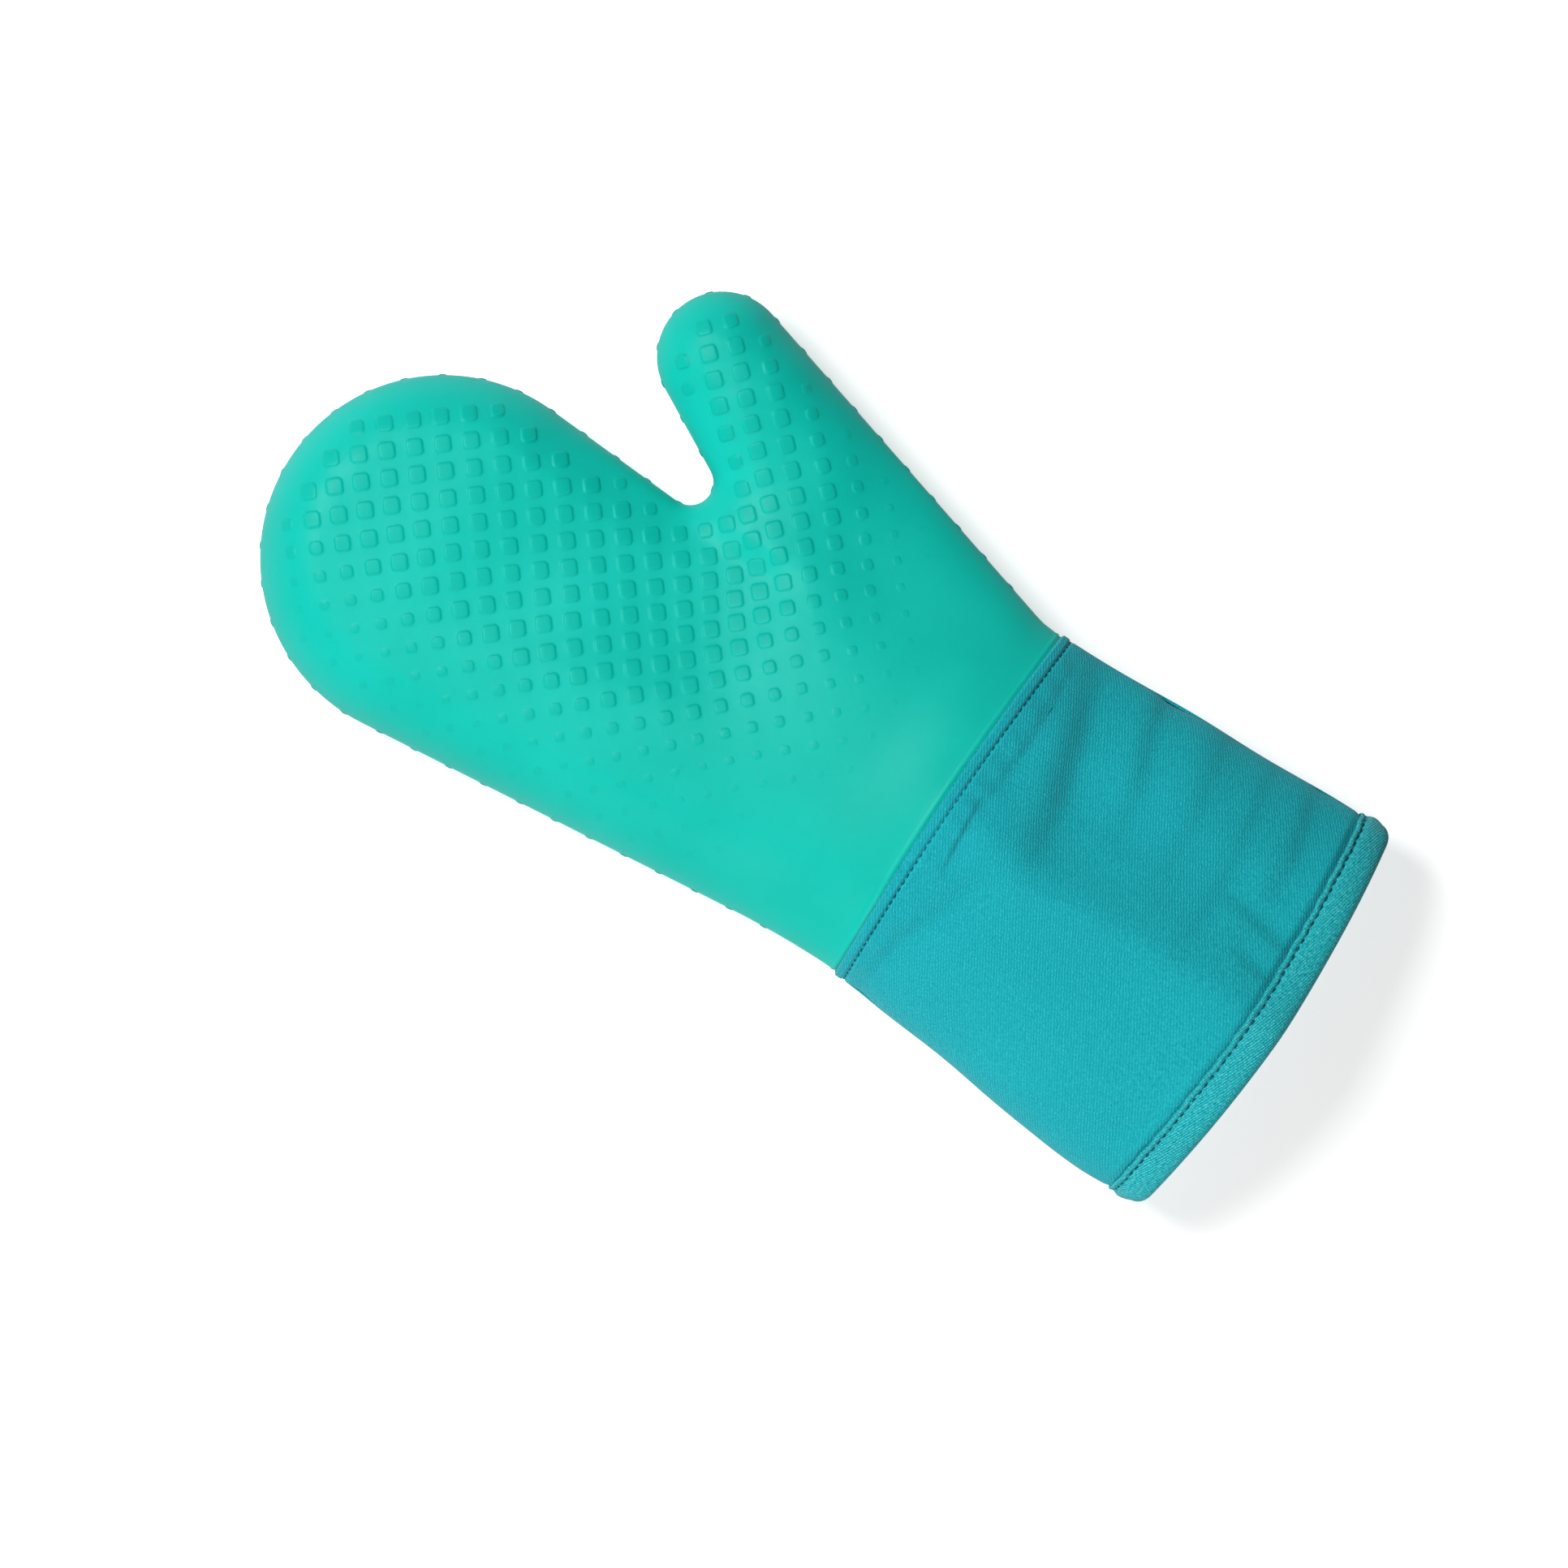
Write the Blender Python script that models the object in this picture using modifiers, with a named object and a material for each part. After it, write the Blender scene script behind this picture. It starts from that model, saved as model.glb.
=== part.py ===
"""A silicone oven mitt with a sewn cloth cuff, lying flat, filled out as if a hand were in it.

X runs across the hand with the thumb at +X, Y from the hem to the fingertips, Z up. While it is
built, the plan's origin is where the cuff's centre line meets the hem; an empty then carries all
pieces so that the finished mitt stands on Z = 0 with the middle of its plan at the world origin.

Every layer is a parallel of one surface: the outside of the moulded silicone. A point of a layer
has a place in plan and an inset, which is how deep the layer lies inside that surface, and is
negative for what lies on it. The mould is made first, then the cloth panels nest in and on it.
"""

import math

import bmesh
import bpy
import numpy as np
from mathutils import Vector
from mathutils.geometry import delaunay_2d_cdt

# The plan is a belt of straight runs laid round these discs. Lengths are in metres.
FINGER_RADIUS = 0.0543
FINGER_X = -0.0240
FINGER_Y = 0.2770
CROTCH_RADIUS = 0.0068
CROTCH_OFF_FINGERS = 0.0052
CROTCH_Y = 0.2292
THUMB_RADIUS = 0.0194
THUMB_OFF_CROTCH = 0.0360
THUMB_Y = 0.2420
WRIST_THUMB_X = 0.0585
WRIST_OUTER_X = -0.0602
WRIST_Y = 0.1100
THUMB_FLARE_RADIUS = 0.0500
OUTER_FLARE_RADIUS = 0.0600
HEM_THUMB_X = 0.0648
HEM_OUTER_X = -0.0666
CUFF_SWELL_RADIUS = 0.1200
CUFF_SWELL_X = -0.0676
CUFF_SWELL_Y = 0.0240

# How far the outside surface stands over the middle plane, and how far below it.
DEPTH_BELOW = 0.0221
CUFF_RISE = 0.0290
PALM_RISE = 0.0265
FINGER_RISE = 0.0250
THUMB_RISE = 0.0188
CUFF_EDGE_REACH = 0.0300
HAND_EDGE_REACH_SHARE = 0.98
CROWN_DROP = 0.0055
VALLEY_DEPTH = 0.0025
VALLEY_WIDTH = 0.0110

# The wall of the mould and its grip bumps: low square studs that stand as diamonds.
WALL = 0.0022
BUMP_SIDE = 0.0047
BUMP_LEAST_SIDE = 0.0026
BUMP_HEIGHT = 0.0009
BUMP_TOP_SHARE = 0.74
BUMP_STEP_X = 0.00584
BUMP_STEP_Y = 0.00558
BUMP_START_X = 0.0028
BUMP_START_Y = 0.1785
BUMP_EDGE_MARGIN = 0.0024
FINGER_LEAN_SHARE = 0.0685
THUMB_LEAN_SHARE = 0.085
SAG = 0.0059
SAG_SPAN = 0.0620
FADE_OUTER_X = -0.0370
FADE_WIDTH = 0.0210

# The cloth cuff, from the hem up to the seam where it overlaps the mould.
SEAM_Y = 0.1123
SEAM_BOW = 0.0028
HEM_BOW_ABOVE = 0.0073
HEM_BOW_BELOW = 0.0035
HEM_BOW_REACH = 0.0600
OVERLAP = 0.0090
CLOTH = 0.00095
CUFF_PADDING = 0.0018
QUILT = 0.0020
LINING = 0.0008
LAYER_GAP = 0.00035
TAPE = 0.0007
TAPE_WIDTH = 0.0100
TAPE_FOLD = 0.0016

# Mesh steps, and the widths that only building needs.
NET_STEP = 0.0200
NET_DETAIL = 0.5
SHELL_STEP = 0.0105
OVERRUN = 0.0050
CROWD = 0.0023
TINY = 0.000001

# What follows comes from the sizes above.
CROTCH_X = FINGER_X + FINGER_RADIUS + CROTCH_OFF_FINGERS
THUMB_X = CROTCH_X + THUMB_OFF_CROTCH
MIDDLE_Z = DEPTH_BELOW + BUMP_HEIGHT
HAND_EDGE_REACH = THUMB_RADIUS * HAND_EDGE_REACH_SHARE
MOULD_END_Y = SEAM_Y - OVERLAP
PANEL_INSET = -(CLOTH + LAYER_GAP)
TAPE_OUTER_INSET = PANEL_INSET - LAYER_GAP - TAPE
QUILT_INSET = WALL + LAYER_GAP
LINING_INSET = QUILT_INSET + QUILT + LAYER_GAP
TAPE_INNER_INSET = LINING_INSET + LINING + LAYER_GAP + TAPE
RAW_EDGE = TAPE_FOLD + TAPE + LAYER_GAP
CUFF_BELOW = MIDDLE_Z + PANEL_INSET
HEM_BELOW = MIDDLE_Z + TAPE_OUTER_INSET
WRIST_LINES = [MOULD_END_Y - OVERRUN, MOULD_END_Y + 1.5 * OVERLAP]

ABOVE, BELOW = 1, -1


def blend(value, low, high):
    """0 up to low, 1 from high, and an even S between them."""
    t = np.clip((value - low) / (high - low), 0, 1)
    return t * t * (3 - 2 * t)


def discs():
    """The belt's discs, counter-clockwise from the hem's thumb corner.

    Each is its centre, its radius, which is negative where the edge curves inwards, how many
    steps its arc takes, and how many the straight run after it takes.
    """
    return [
        (HEM_THUMB_X, 0, 0, 0, 8),
        (WRIST_THUMB_X + THUMB_FLARE_RADIUS, WRIST_Y, -THUMB_FLARE_RADIUS, 3, 8),
        (THUMB_X, THUMB_Y, THUMB_RADIUS, 9, 2),
        (CROTCH_X, CROTCH_Y, -CROTCH_RADIUS, 8, 4),
        (FINGER_X, FINGER_Y, FINGER_RADIUS, 16, 11),
        (WRIST_OUTER_X - OUTER_FLARE_RADIUS, WRIST_Y, -OUTER_FLARE_RADIUS, 2, 6),
        (CUFF_SWELL_X + CUFF_SWELL_RADIUS, CUFF_SWELL_Y, CUFF_SWELL_RADIUS, 2, 2),
        (HEM_OUTER_X, 0, 0, 0, 0),
    ]


def belt(detail):
    """Points along the plan's edge, and the direction into the mitt at each.

    detail is the share of the discs' steps that arcs and straight runs take.
    """
    chain = discs()
    headings = []
    for (x0, y0, r0, _, _), (x1, y1, r1, _, _) in zip(chain, chain[1:]):
        across = r1 - r0
        along = math.sqrt((x1 - x0) ** 2 + (y1 - y0) ** 2 - across**2)
        headings.append(math.atan2(y1 - y0, x1 - x0) - math.atan2(across, along))
    headings = [headings[0]] + headings + [headings[-1]]
    points, inward = [], []
    for i, (x, y, radius, arc_steps, run_steps) in enumerate(chain):
        turn = math.remainder(headings[i + 1] - headings[i], math.tau)
        if turn * radius < 0:
            turn += math.copysign(math.tau, radius)
        arc_steps = math.ceil(arc_steps * detail)
        run_steps = math.ceil(run_steps * detail)
        for k in range(arc_steps + 1):
            heading = headings[i] + turn * k / max(arc_steps, 1)
            normal = np.array([-math.sin(heading), math.cos(heading)])
            points.append(np.array([x, y]) - radius * normal)
            inward.append(normal)
        if run_steps:
            x1, y1, r1 = chain[i + 1][:3]
            end = np.array([x1, y1]) - r1 * normal
            for k in range(1, run_steps):
                points.append(points[-k] + (end - points[-k]) * k / run_steps)
                inward.append(normal)
    return np.array(points), np.array(inward)


def below_hem():
    """The belt with both ends carried on past the hem, so that depths hold there too."""
    points, inward = belt(1)
    first = 2 * points[0] - points[1]
    last = 2 * points[-1] - points[-2]
    points = np.vstack([first, points, last])
    return points, np.vstack([inward[0], inward, inward[-1]])


EDGE_POINTS, EDGE_INWARD = below_hem()


def plan(x, y):
    """Rows of x, y, depth inside the plan's edge, and the direction in from that edge."""
    place = np.stack([np.ravel(x), np.ravel(y)], axis=1)
    start, run = EDGE_POINTS[:-1], np.diff(EDGE_POINTS, axis=0)
    away = place[:, None, :] - start[None]
    share = np.clip((away * run).sum(axis=2) / (run * run).sum(axis=1), 0, 1)
    gap = away - share[..., None] * run
    far = np.linalg.norm(gap, axis=2)
    near = far.argmin(axis=1)
    rows = np.arange(len(place))
    depth = far[rows, near]
    inward = gap[rows, near] / np.maximum(depth, TINY)[:, None]
    edge = depth < LAYER_GAP
    inward[edge] = EDGE_INWARD[near[edge]]
    return np.column_stack([place, depth, inward])


def side_x(y, side):
    """The edge of the cuff at y: side 1 is the thumb's, -1 the little finger's."""
    points = EDGE_POINTS[::side]
    top = np.argmax(np.diff(points[:, 1]) <= 0)
    return np.interp(y, points[: top + 1, 1], points[: top + 1, 0])


def crest(x, y, face):
    """Height of the outside surface over the middle plane, or depth below it, before rounding."""
    if face == BELOW:
        depth = HEM_BELOW + (CUFF_BELOW - HEM_BELOW) * blend(y, TAPE_WIDTH, 2 * TAPE_WIDTH)
        return depth + (DEPTH_BELOW - CUFF_BELOW) * blend(y, SEAM_Y, SEAM_Y + OVERLAP)
    rise = CUFF_RISE + (PALM_RISE - CUFF_RISE) * blend(y, SEAM_Y - OVERLAP, SEAM_Y + 4 * OVERLAP)
    rise = rise + (FINGER_RISE - PALM_RISE) * blend(y, WRIST_Y, CROTCH_Y)
    fingers = blend(y, WRIST_Y, CROTCH_Y)
    ridge_x = (FINGER_X - CROTCH_RADIUS) * fingers
    rise = rise - CROWN_DROP * ((x - ridge_x) / FINGER_RADIUS) ** 2 * (0.45 + 0.55 * fingers)
    over_thumb = blend(x, CROTCH_X - 3 * CROTCH_RADIUS, CROTCH_X + 2 * CROTCH_RADIUS)
    up_thumb = blend(y + (x - THUMB_X) / 2, CROTCH_Y - 3 * THUMB_RADIUS, CROTCH_Y)
    rise = rise + (THUMB_RISE - rise) * over_thumb * up_thumb
    off_valley = (x - CROTCH_X) - (y - CROTCH_Y) * 1.2
    valley = np.exp(-((off_valley / (2 * VALLEY_WIDTH)) ** 2))
    valley = valley * np.exp(-(((y - CROTCH_Y) / (2.5 * VALLEY_WIDTH)) ** 2))
    return rise - VALLEY_DEPTH * valley


def edge_reach(y):
    """How far in from the plan's edge a surface keeps on rounding over."""
    return CUFF_EDGE_REACH + (HAND_EDGE_REACH - CUFF_EDGE_REACH) * blend(y, SEAM_Y, CROTCH_Y)


def lift(rows, inset, face, seam=0.0):
    """Places plan rows on the layer at this inset, on the upper or the lower face.

    seam holds the layer's edge that far off the middle plane, as two sewn panels need.
    """
    x, y, depth, in_x, in_y = rows.T
    hem = blend(y, HEM_BOW_REACH, 0)
    half_width = (HEM_THUMB_X - HEM_OUTER_X) / 2
    middle_x = (HEM_THUMB_X + HEM_OUTER_X) / 2
    bow = HEM_BOW_ABOVE if face == ABOVE else HEM_BOW_BELOW
    arch = np.clip(1 - np.abs((x - middle_x) / half_width) ** 2.4, 0, 1)
    share = np.clip(depth / edge_reach(y), 0, 1)
    slide = inset * (1 - share)
    height = (crest(x, y, face) - inset - seam) * np.sqrt(1 - (1 - share) ** 2)
    return np.column_stack(
        [x + in_x * slide, y + in_y * slide - bow * arch * hem, MIDDLE_Z + face * (seam + height)]
    )


def bumps():
    """Each grip bump's centre in plan and the length of its sides."""
    found = []
    rows = range(-4, 27)
    for j in rows:
        for i in range(-12, 15):
            if (i + j) % 2:
                continue
            x = BUMP_START_X + i * BUMP_STEP_X
            y = BUMP_START_Y + j * BUMP_STEP_Y
            thumb = blend(x, CROTCH_X - 2 * CROTCH_RADIUS, CROTCH_X + CROTCH_RADIUS)
            rise = y - BUMP_START_Y
            lean = FINGER_LEAN_SHARE * max(rise - 4 * BUMP_STEP_Y, 0) * (1 - thumb)
            lean -= THUMB_LEAN_SHARE * max(rise - BUMP_STEP_Y, 0) * thumb
            off = (min(x, CROTCH_X) - FADE_OUTER_X) / SAG_SPAN
            y -= SAG * off**2 * blend(rise, 0, 6 * BUMP_STEP_Y) * (1 - 0.8 * thumb)
            x += lean
            outer = FADE_OUTER_X + FADE_WIDTH * blend(y, FINGER_Y - 6 * BUMP_STEP_Y, BUMP_START_Y)
            side = BUMP_SIDE * (0.25 + 0.75 * blend(x, outer - FADE_WIDTH, outer))
            side *= 0.35 + 0.65 * blend(rise, -3 * BUMP_STEP_Y, BUMP_STEP_Y)
            depth = plan(x, y)[0, 2]
            if inside(x, y):
                side *= 0.7 + 0.3 * blend(depth, BUMP_EDGE_MARGIN, 2 * BUMP_SIDE)
                if side >= BUMP_LEAST_SIDE and depth > side * math.sqrt(0.5) + BUMP_EDGE_MARGIN:
                    found.append((x, y, side))
    return found


def inside(x, y):
    """Whether a place in plan is inside the mitt's edge."""
    x0, y0 = EDGE_POINTS.T
    x1, y1 = np.roll(EDGE_POINTS, -1, axis=0).T
    crosses = (y0 > y) != (y1 > y)
    at = x0 + (y - y0) / np.where(y1 == y0, TINY, y1 - y0) * (x1 - x0)
    return bool(np.count_nonzero(crosses & (x < at)) % 2)


def edge_from(lines, detail):
    """The plan's edge from the thumb side of the lowest line across it round to its other side."""
    points, inward = belt(detail)
    over = np.flatnonzero(points[:, 1] > lines[-1] + CROWD)
    first, last = over[0], over[-1] + 1
    apart = np.abs(points[:, 1, None] - lines).min(axis=1) > CROWD
    apart &= points[:, 1] > lines[0]
    sides = []
    for side, stretch in ((1, slice(first)), (-1, slice(last, None))):
        kept = [(*p, *n) for p, n, ok in zip(points[stretch], inward[stretch], apart[stretch]) if ok]
        kept += [(side_x(y, side), y, -side, 0) for y in lines]
        sides.append(sorted(kept, key=lambda row: side * row[1]))
    edge = np.vstack([sides[0], np.hstack([points[first:last], inward[first:last]]), sides[1]])
    return edge[:, :2], edge[:, 2:]


def edge_rounding(angles):
    """The share of the rounding's reach at which a surface has turned by each angle."""
    return [1 - math.cos(math.radians(angle)) for angle in angles]


def cuff_rows(y):
    """Plan rows for one line across the cuff, from the thumb side to the other."""
    right, left = side_x(y, 1), side_x(y, -1)
    rounded = [share * CUFF_EDGE_REACH for share in edge_rounding((0, 15, 30, 45, 60, 75, 90))]
    rows = [(right - depth, y, depth, -1, 0) for depth in rounded]
    wide = right - left - 2 * CUFF_EDGE_REACH
    for share in (0.2, 0.4, 0.6, 0.8):
        depth = CUFF_EDGE_REACH + wide * share
        rows.append((right - depth, y, min(depth, right - left - depth), 0, 0))
    rows += [(left + depth, y, depth, 1, 0) for depth in reversed(rounded)]
    return np.array(rows, dtype=float)


def net(lines, step, detail, angles, studs=()):
    """A triangle net over the plan from the first of these lines across it upwards.

    It returns plan rows, triangles and, for each row, how far it stands out as a share of a
    bump's height. Rings follow the edge at the given angles of its rounding.
    """
    points, inward = edge_from(lines, detail)
    count = len(points)
    places = [tuple(p) for p in points]
    ties = [(k, k + 1) for k in range(count - 1)]
    for y in lines:
        ends = np.flatnonzero(points[:, 1] == y)
        first = len(places)
        places += [tuple(row[:2]) for row in cuff_rows(y)[-2:0:-1]]
        across = [ends[-1], *range(first, len(places)), ends[0]]
        ties += list(zip(across, across[1:]))
    raised = [0.0] * len(places)

    for x, y, side in studs:
        for scale, rise in ((1.0, 0.0), (BUMP_TOP_SHARE, 1.0)):
            half = side * scale * math.sqrt(0.5)
            first = len(places)
            places += [(x + half, y), (x, y + half), (x - half, y), (x, y - half)]
            ties += [(first + k, first + (k + 1) % 4) for k in range(4)]
            raised += [rise] * 4

    centres = np.array([(x, y) for x, y, _ in studs]).reshape(-1, 2)
    sides = np.array([side for _, _, side in studs])

    def clear(x, y):
        """Whether a free point may lie here without crowding a stud."""
        if not len(centres):
            return True
        gap = np.abs(centres - (x, y)).sum(axis=1) - sides * math.sqrt(0.5)
        return gap.min() > BUMP_SIDE / 4

    free = []
    ringed = np.abs(points[:, 1, None] - lines).min(axis=1) > 0
    reaches = edge_reach(points[ringed, 1])
    for ring, share in enumerate(edge_rounding(angles[1:])):
        ring_points = points[ringed] + inward[ringed] * (share * reaches)[:, None]
        if ring == 0:
            places += [tuple(p) for p in ring_points]
            raised += [0.0] * len(ring_points)
        else:
            free += list(ring_points)
    inner = edge_rounding(angles)[-1]
    row_step = step * math.sqrt(0.75)
    for row in range(int(points[:, 1].max() / row_step)):
        y = row * row_step
        if y < lines[0] or np.abs(np.subtract(lines, y)).min() < step / 2:
            continue
        shift = step * (row % 2) / 2
        for x in np.arange(-8 * step + shift, points[:, 0].max(), step):
            depth = plan(x, y)[0, 2]
            if inside(x, y) and depth > inner * edge_reach(y) + step / 3:
                free.append((x, y))
    for x, y in free:
        if clear(x, y):
            places.append((x, y))
            raised.append(0.0)

    found = delaunay_2d_cdt([Vector(p) for p in places], ties, [], 0, TINY, True)
    raised = np.array([raised[ids[0]] for ids in found[3]])
    places = np.array([tuple(p) for p in found[0]])
    rows = plan(places[:, 0], places[:, 1])
    for k, ids in enumerate(found[3]):
        if ids[0] < count:
            rows[k, 2:] = (0, *inward[ids[0]])
    triangles = [tuple(face) for face in found[2]]
    return rows, [face for face in triangles if inside(*places[list(face)].mean(axis=0))], raised


def new_object(name, bm, collection):
    """Turns a bmesh into an object of this name."""
    mesh = bpy.data.meshes.new(name)
    bm.to_mesh(mesh)
    bm.free()
    thing = bpy.data.objects.new(name, mesh)
    collection.objects.link(thing)
    thing.parent = carrier
    return thing


def closed_body(name, rows, triangles, raised, inset, collection):
    """Both faces of a layer joined along the plan's edge, with a flat end at the wrist."""
    bm = bmesh.new()
    corners = {}
    for face in (ABOVE, BELOW):
        places = lift(rows, inset, face)
        places = places + (lift(rows, inset - BUMP_HEIGHT, face) - places) * raised[:, None]
        for k, place in enumerate(places):
            shared = face == BELOW and rows[k, 2] == 0
            corners[face, k] = corners[ABOVE, k] if shared else bm.verts.new(place)
        for a, b, c in triangles:
            order = (a, b, c) if face == ABOVE else (c, b, a)
            bm.faces.new([corners[face, k] for k in order])
    ends = [e for e in bm.edges if e.is_boundary]
    bmesh.ops.holes_fill(bm, edges=ends, sides=len(ends))
    bmesh.ops.recalc_face_normals(bm, faces=bm.faces)
    return new_object(name, bm, collection)


def sheet_between(name, outer, inner, faces, collection):
    """A solid sheet whose two surfaces have the same net, joined along their borders."""
    bm = bmesh.new()
    count = len(outer)
    corners = [bm.verts.new(p) for p in np.vstack([outer, inner])]
    for face in faces:
        bm.faces.new([corners[k] for k in face])
    bm.edges.index_update()
    bm.verts.index_update()
    borders = [tuple(v.index for v in e.verts) for e in bm.edges if e.is_boundary]
    for face in faces:
        bm.faces.new([corners[k + count] for k in reversed(face)])
    for a, b in borders:
        bm.faces.new([corners[k] for k in (a, b, b + count, a + count)])
    bmesh.ops.recalc_face_normals(bm, faces=bm.faces)
    return new_object(name, bm, collection)


def panel(name, rows, triangles, inset, thickness, face, collection):
    """One sewn panel of the whole mitt: a layer's two surfaces on one face."""
    seam = LAYER_GAP / 2
    outer = lift(rows, inset, face, seam)
    inner = lift(rows, inset + thickness, face, seam)
    return sheet_between(name, outer, inner, triangles, collection)


def thicken(thing, thickness):
    """Gives an open surface its wall, on the side that its faces turn away from."""
    wall = thing.modifiers.new("wall", "SOLIDIFY")
    wall.thickness = thickness
    wall.offset = -1
    wall.use_even_offset = True


def cuff_layer(name, inset, thickness, start_y, end_y, bow, face, collection):
    """A cloth or padding layer of the cuff on one face, with its upper edge bowed."""
    middle_x = (HEM_THUMB_X + HEM_OUTER_X) / 2
    half_width = (HEM_THUMB_X - HEM_OUTER_X) / 2
    outer, inner = [], []
    lines = [start_y, TAPE_WIDTH, 2 * TAPE_WIDTH]
    lines += [2 * TAPE_WIDTH + (end_y - 2 * TAPE_WIDTH) * share for share in (0.3, 0.6, 0.85, 1)]
    for y in lines:
        rows = cuff_rows(y)
        arch = bow * (y / end_y) ** 3 * (1 - ((rows[:, 0] - middle_x) / half_width) ** 2)
        for surface, depth in ((outer, inset), (inner, inset + thickness)):
            places = lift(rows, depth, face, LAYER_GAP / 2)
            places[:, 1] += arch
            surface.append(places)
    wide = len(rows)
    faces = [
        (k, k + wide, k + wide + 1, k + 1)
        for row in range(len(lines) - 1)
        for k in range(row * wide, row * wide + wide - 1)
    ]
    return sheet_between(name, np.vstack(outer), np.vstack(inner), faces, collection)


def hem_binding(name, collection):
    """A tape folded over the raw edges of all the cuff's layers, once round the mouth."""
    outer, inner = TAPE_OUTER_INSET, TAPE_INNER_INSET
    fold = (inner - outer) / 5
    profile = [
        (outer, TAPE_WIDTH),
        (outer, TAPE_FOLD),
        (outer + fold, 0),
        (inner - fold, 0),
        (inner, TAPE_FOLD),
        (inner, TAPE_WIDTH),
    ]
    bm = bmesh.new()
    lines = []
    for inset, y in profile:
        rows = cuff_rows(y)
        upper = list(lift(rows, inset, ABOVE))
        lower = list(lift(rows, inset, BELOW))[-2:0:-1]
        lines.append([bm.verts.new(p) for p in upper + lower])
    for low, high in zip(lines, lines[1:]):
        for k in range(len(low)):
            after = (k + 1) % len(low)
            bm.faces.new((low[k], low[after], high[after], high[k]))
    thing = new_object(name, bm, collection)
    thicken(thing, TAPE)
    return thing


def material(name, colour, roughness, sheen=0.0):
    """A plain surface of this colour."""
    made = bpy.data.materials.new(name)
    made.use_nodes = True
    surface = made.node_tree.nodes["Principled BSDF"]
    surface.inputs["Base Color"].default_value = (*colour, 1)
    surface.inputs["Roughness"].default_value = roughness
    surface.inputs["Metallic"].default_value = 0
    surface.inputs["Sheen Weight"].default_value = sheen
    return made


def paint(thing, made):
    """Gives an object its material and a smooth surface with crisp edges."""
    thing.data.materials.append(made)
    thing.data.shade_smooth()
    thing.data.set_sharp_from_angle(angle=math.radians(40))


def silicone_shell(collection, cutters):
    """The moulded hand with its bumps, hollowed from the wrist."""
    overlap = [MOULD_END_Y + OVERLAP * share for share in (0, 0.5, 1, 1.5)]
    rows, triangles, raised = net(overlap, SHELL_STEP, 1, (0, 22, 44, 70), bumps())
    shell = closed_body("silicone_shell", rows, triangles, raised, 0.0, collection)
    rows, triangles, raised = net(WRIST_LINES, NET_STEP, NET_DETAIL, (0, 30, 60))
    hollow = closed_body("hand_hollow", rows, triangles, raised, WALL, cutters)
    hollow.hide_render = True
    hollow.display_type = "WIRE"
    cut = shell.modifiers.new("hollow", "BOOLEAN")
    cut.operation = "DIFFERENCE"
    cut.solver = "EXACT"
    cut.object = hollow
    return shell


def build():
    """Makes every piece of the mitt."""
    mitt = bpy.data.collections.new("oven_mitt")
    cutters = bpy.data.collections.new("cutters")
    for group in (mitt, cutters):
        bpy.context.scene.collection.children.link(group)
    mitt.objects.link(carrier)

    silicone = material("turquoise_silicone", (0.01, 0.56, 0.46), 0.45)
    twill = material("teal_twill", (0.012, 0.38, 0.44), 0.85, 0.3)
    tape = material("teal_tape", (0.010, 0.33, 0.39), 0.85, 0.3)
    batting = material("white_batting", (0.75, 0.75, 0.72), 0.95)
    cotton = material("grey_cotton", (0.42, 0.46, 0.46), 0.9, 0.2)

    paint(silicone_shell(mitt, cutters), silicone)
    lines = [RAW_EDGE, 1.25 * TAPE_WIDTH, *WRIST_LINES]
    rows, triangles, _ = net(lines, NET_STEP, NET_DETAIL, (0, 30, 60))
    for word, face in (("upper", ABOVE), ("lower", BELOW)):
        quilt = panel(f"hand_padding_{word}", rows, triangles, QUILT_INSET, QUILT, face, mitt)
        paint(quilt, batting)
        lining = panel(f"lining_{word}", rows, triangles, LINING_INSET, LINING, face, mitt)
        paint(lining, cotton)
        end_y = MOULD_END_Y - LAYER_GAP
        name = f"cuff_padding_{word}"
        wadding = cuff_layer(name, 0.0, CUFF_PADDING, RAW_EDGE, end_y, 0.0, face, mitt)
        paint(wadding, batting)
        name = f"cuff_panel_{word}"
        cloth = cuff_layer(name, PANEL_INSET, CLOTH, RAW_EDGE, SEAM_Y, SEAM_BOW, face, mitt)
        paint(cloth, twill)
    paint(hem_binding("hem_binding", mitt), tape)

    left = FINGER_X - FINGER_RADIUS
    right = THUMB_X + THUMB_RADIUS
    low = -HEM_BOW_ABOVE
    high = FINGER_Y + FINGER_RADIUS
    carrier.location = (-(left + right) / 2, -(low + high) / 2, 0)


for old in list(bpy.data.objects):
    bpy.data.objects.remove(old, do_unlink=True)
carrier = bpy.data.objects.new("mitt_carrier", None)
build()
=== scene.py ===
"""A silicone oven mitt with a sewn twill cuff, seen square on from above as in the photograph.

Lengths are millimetres on the mitt's plan, whose origin is where the cuff's centre line meets the
hem: x to the thumb's side, y to the fingertips. finish_piece() turns them into the world's metres.
The plan and the height rule are those of part.py, so each piece lies where its solid does, apart
from the soft forms of relief() and ripples().
"""

import math

import bmesh
import bpy
import numpy as np
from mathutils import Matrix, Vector
from mathutils.geometry import delaunay_2d_cdt


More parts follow.
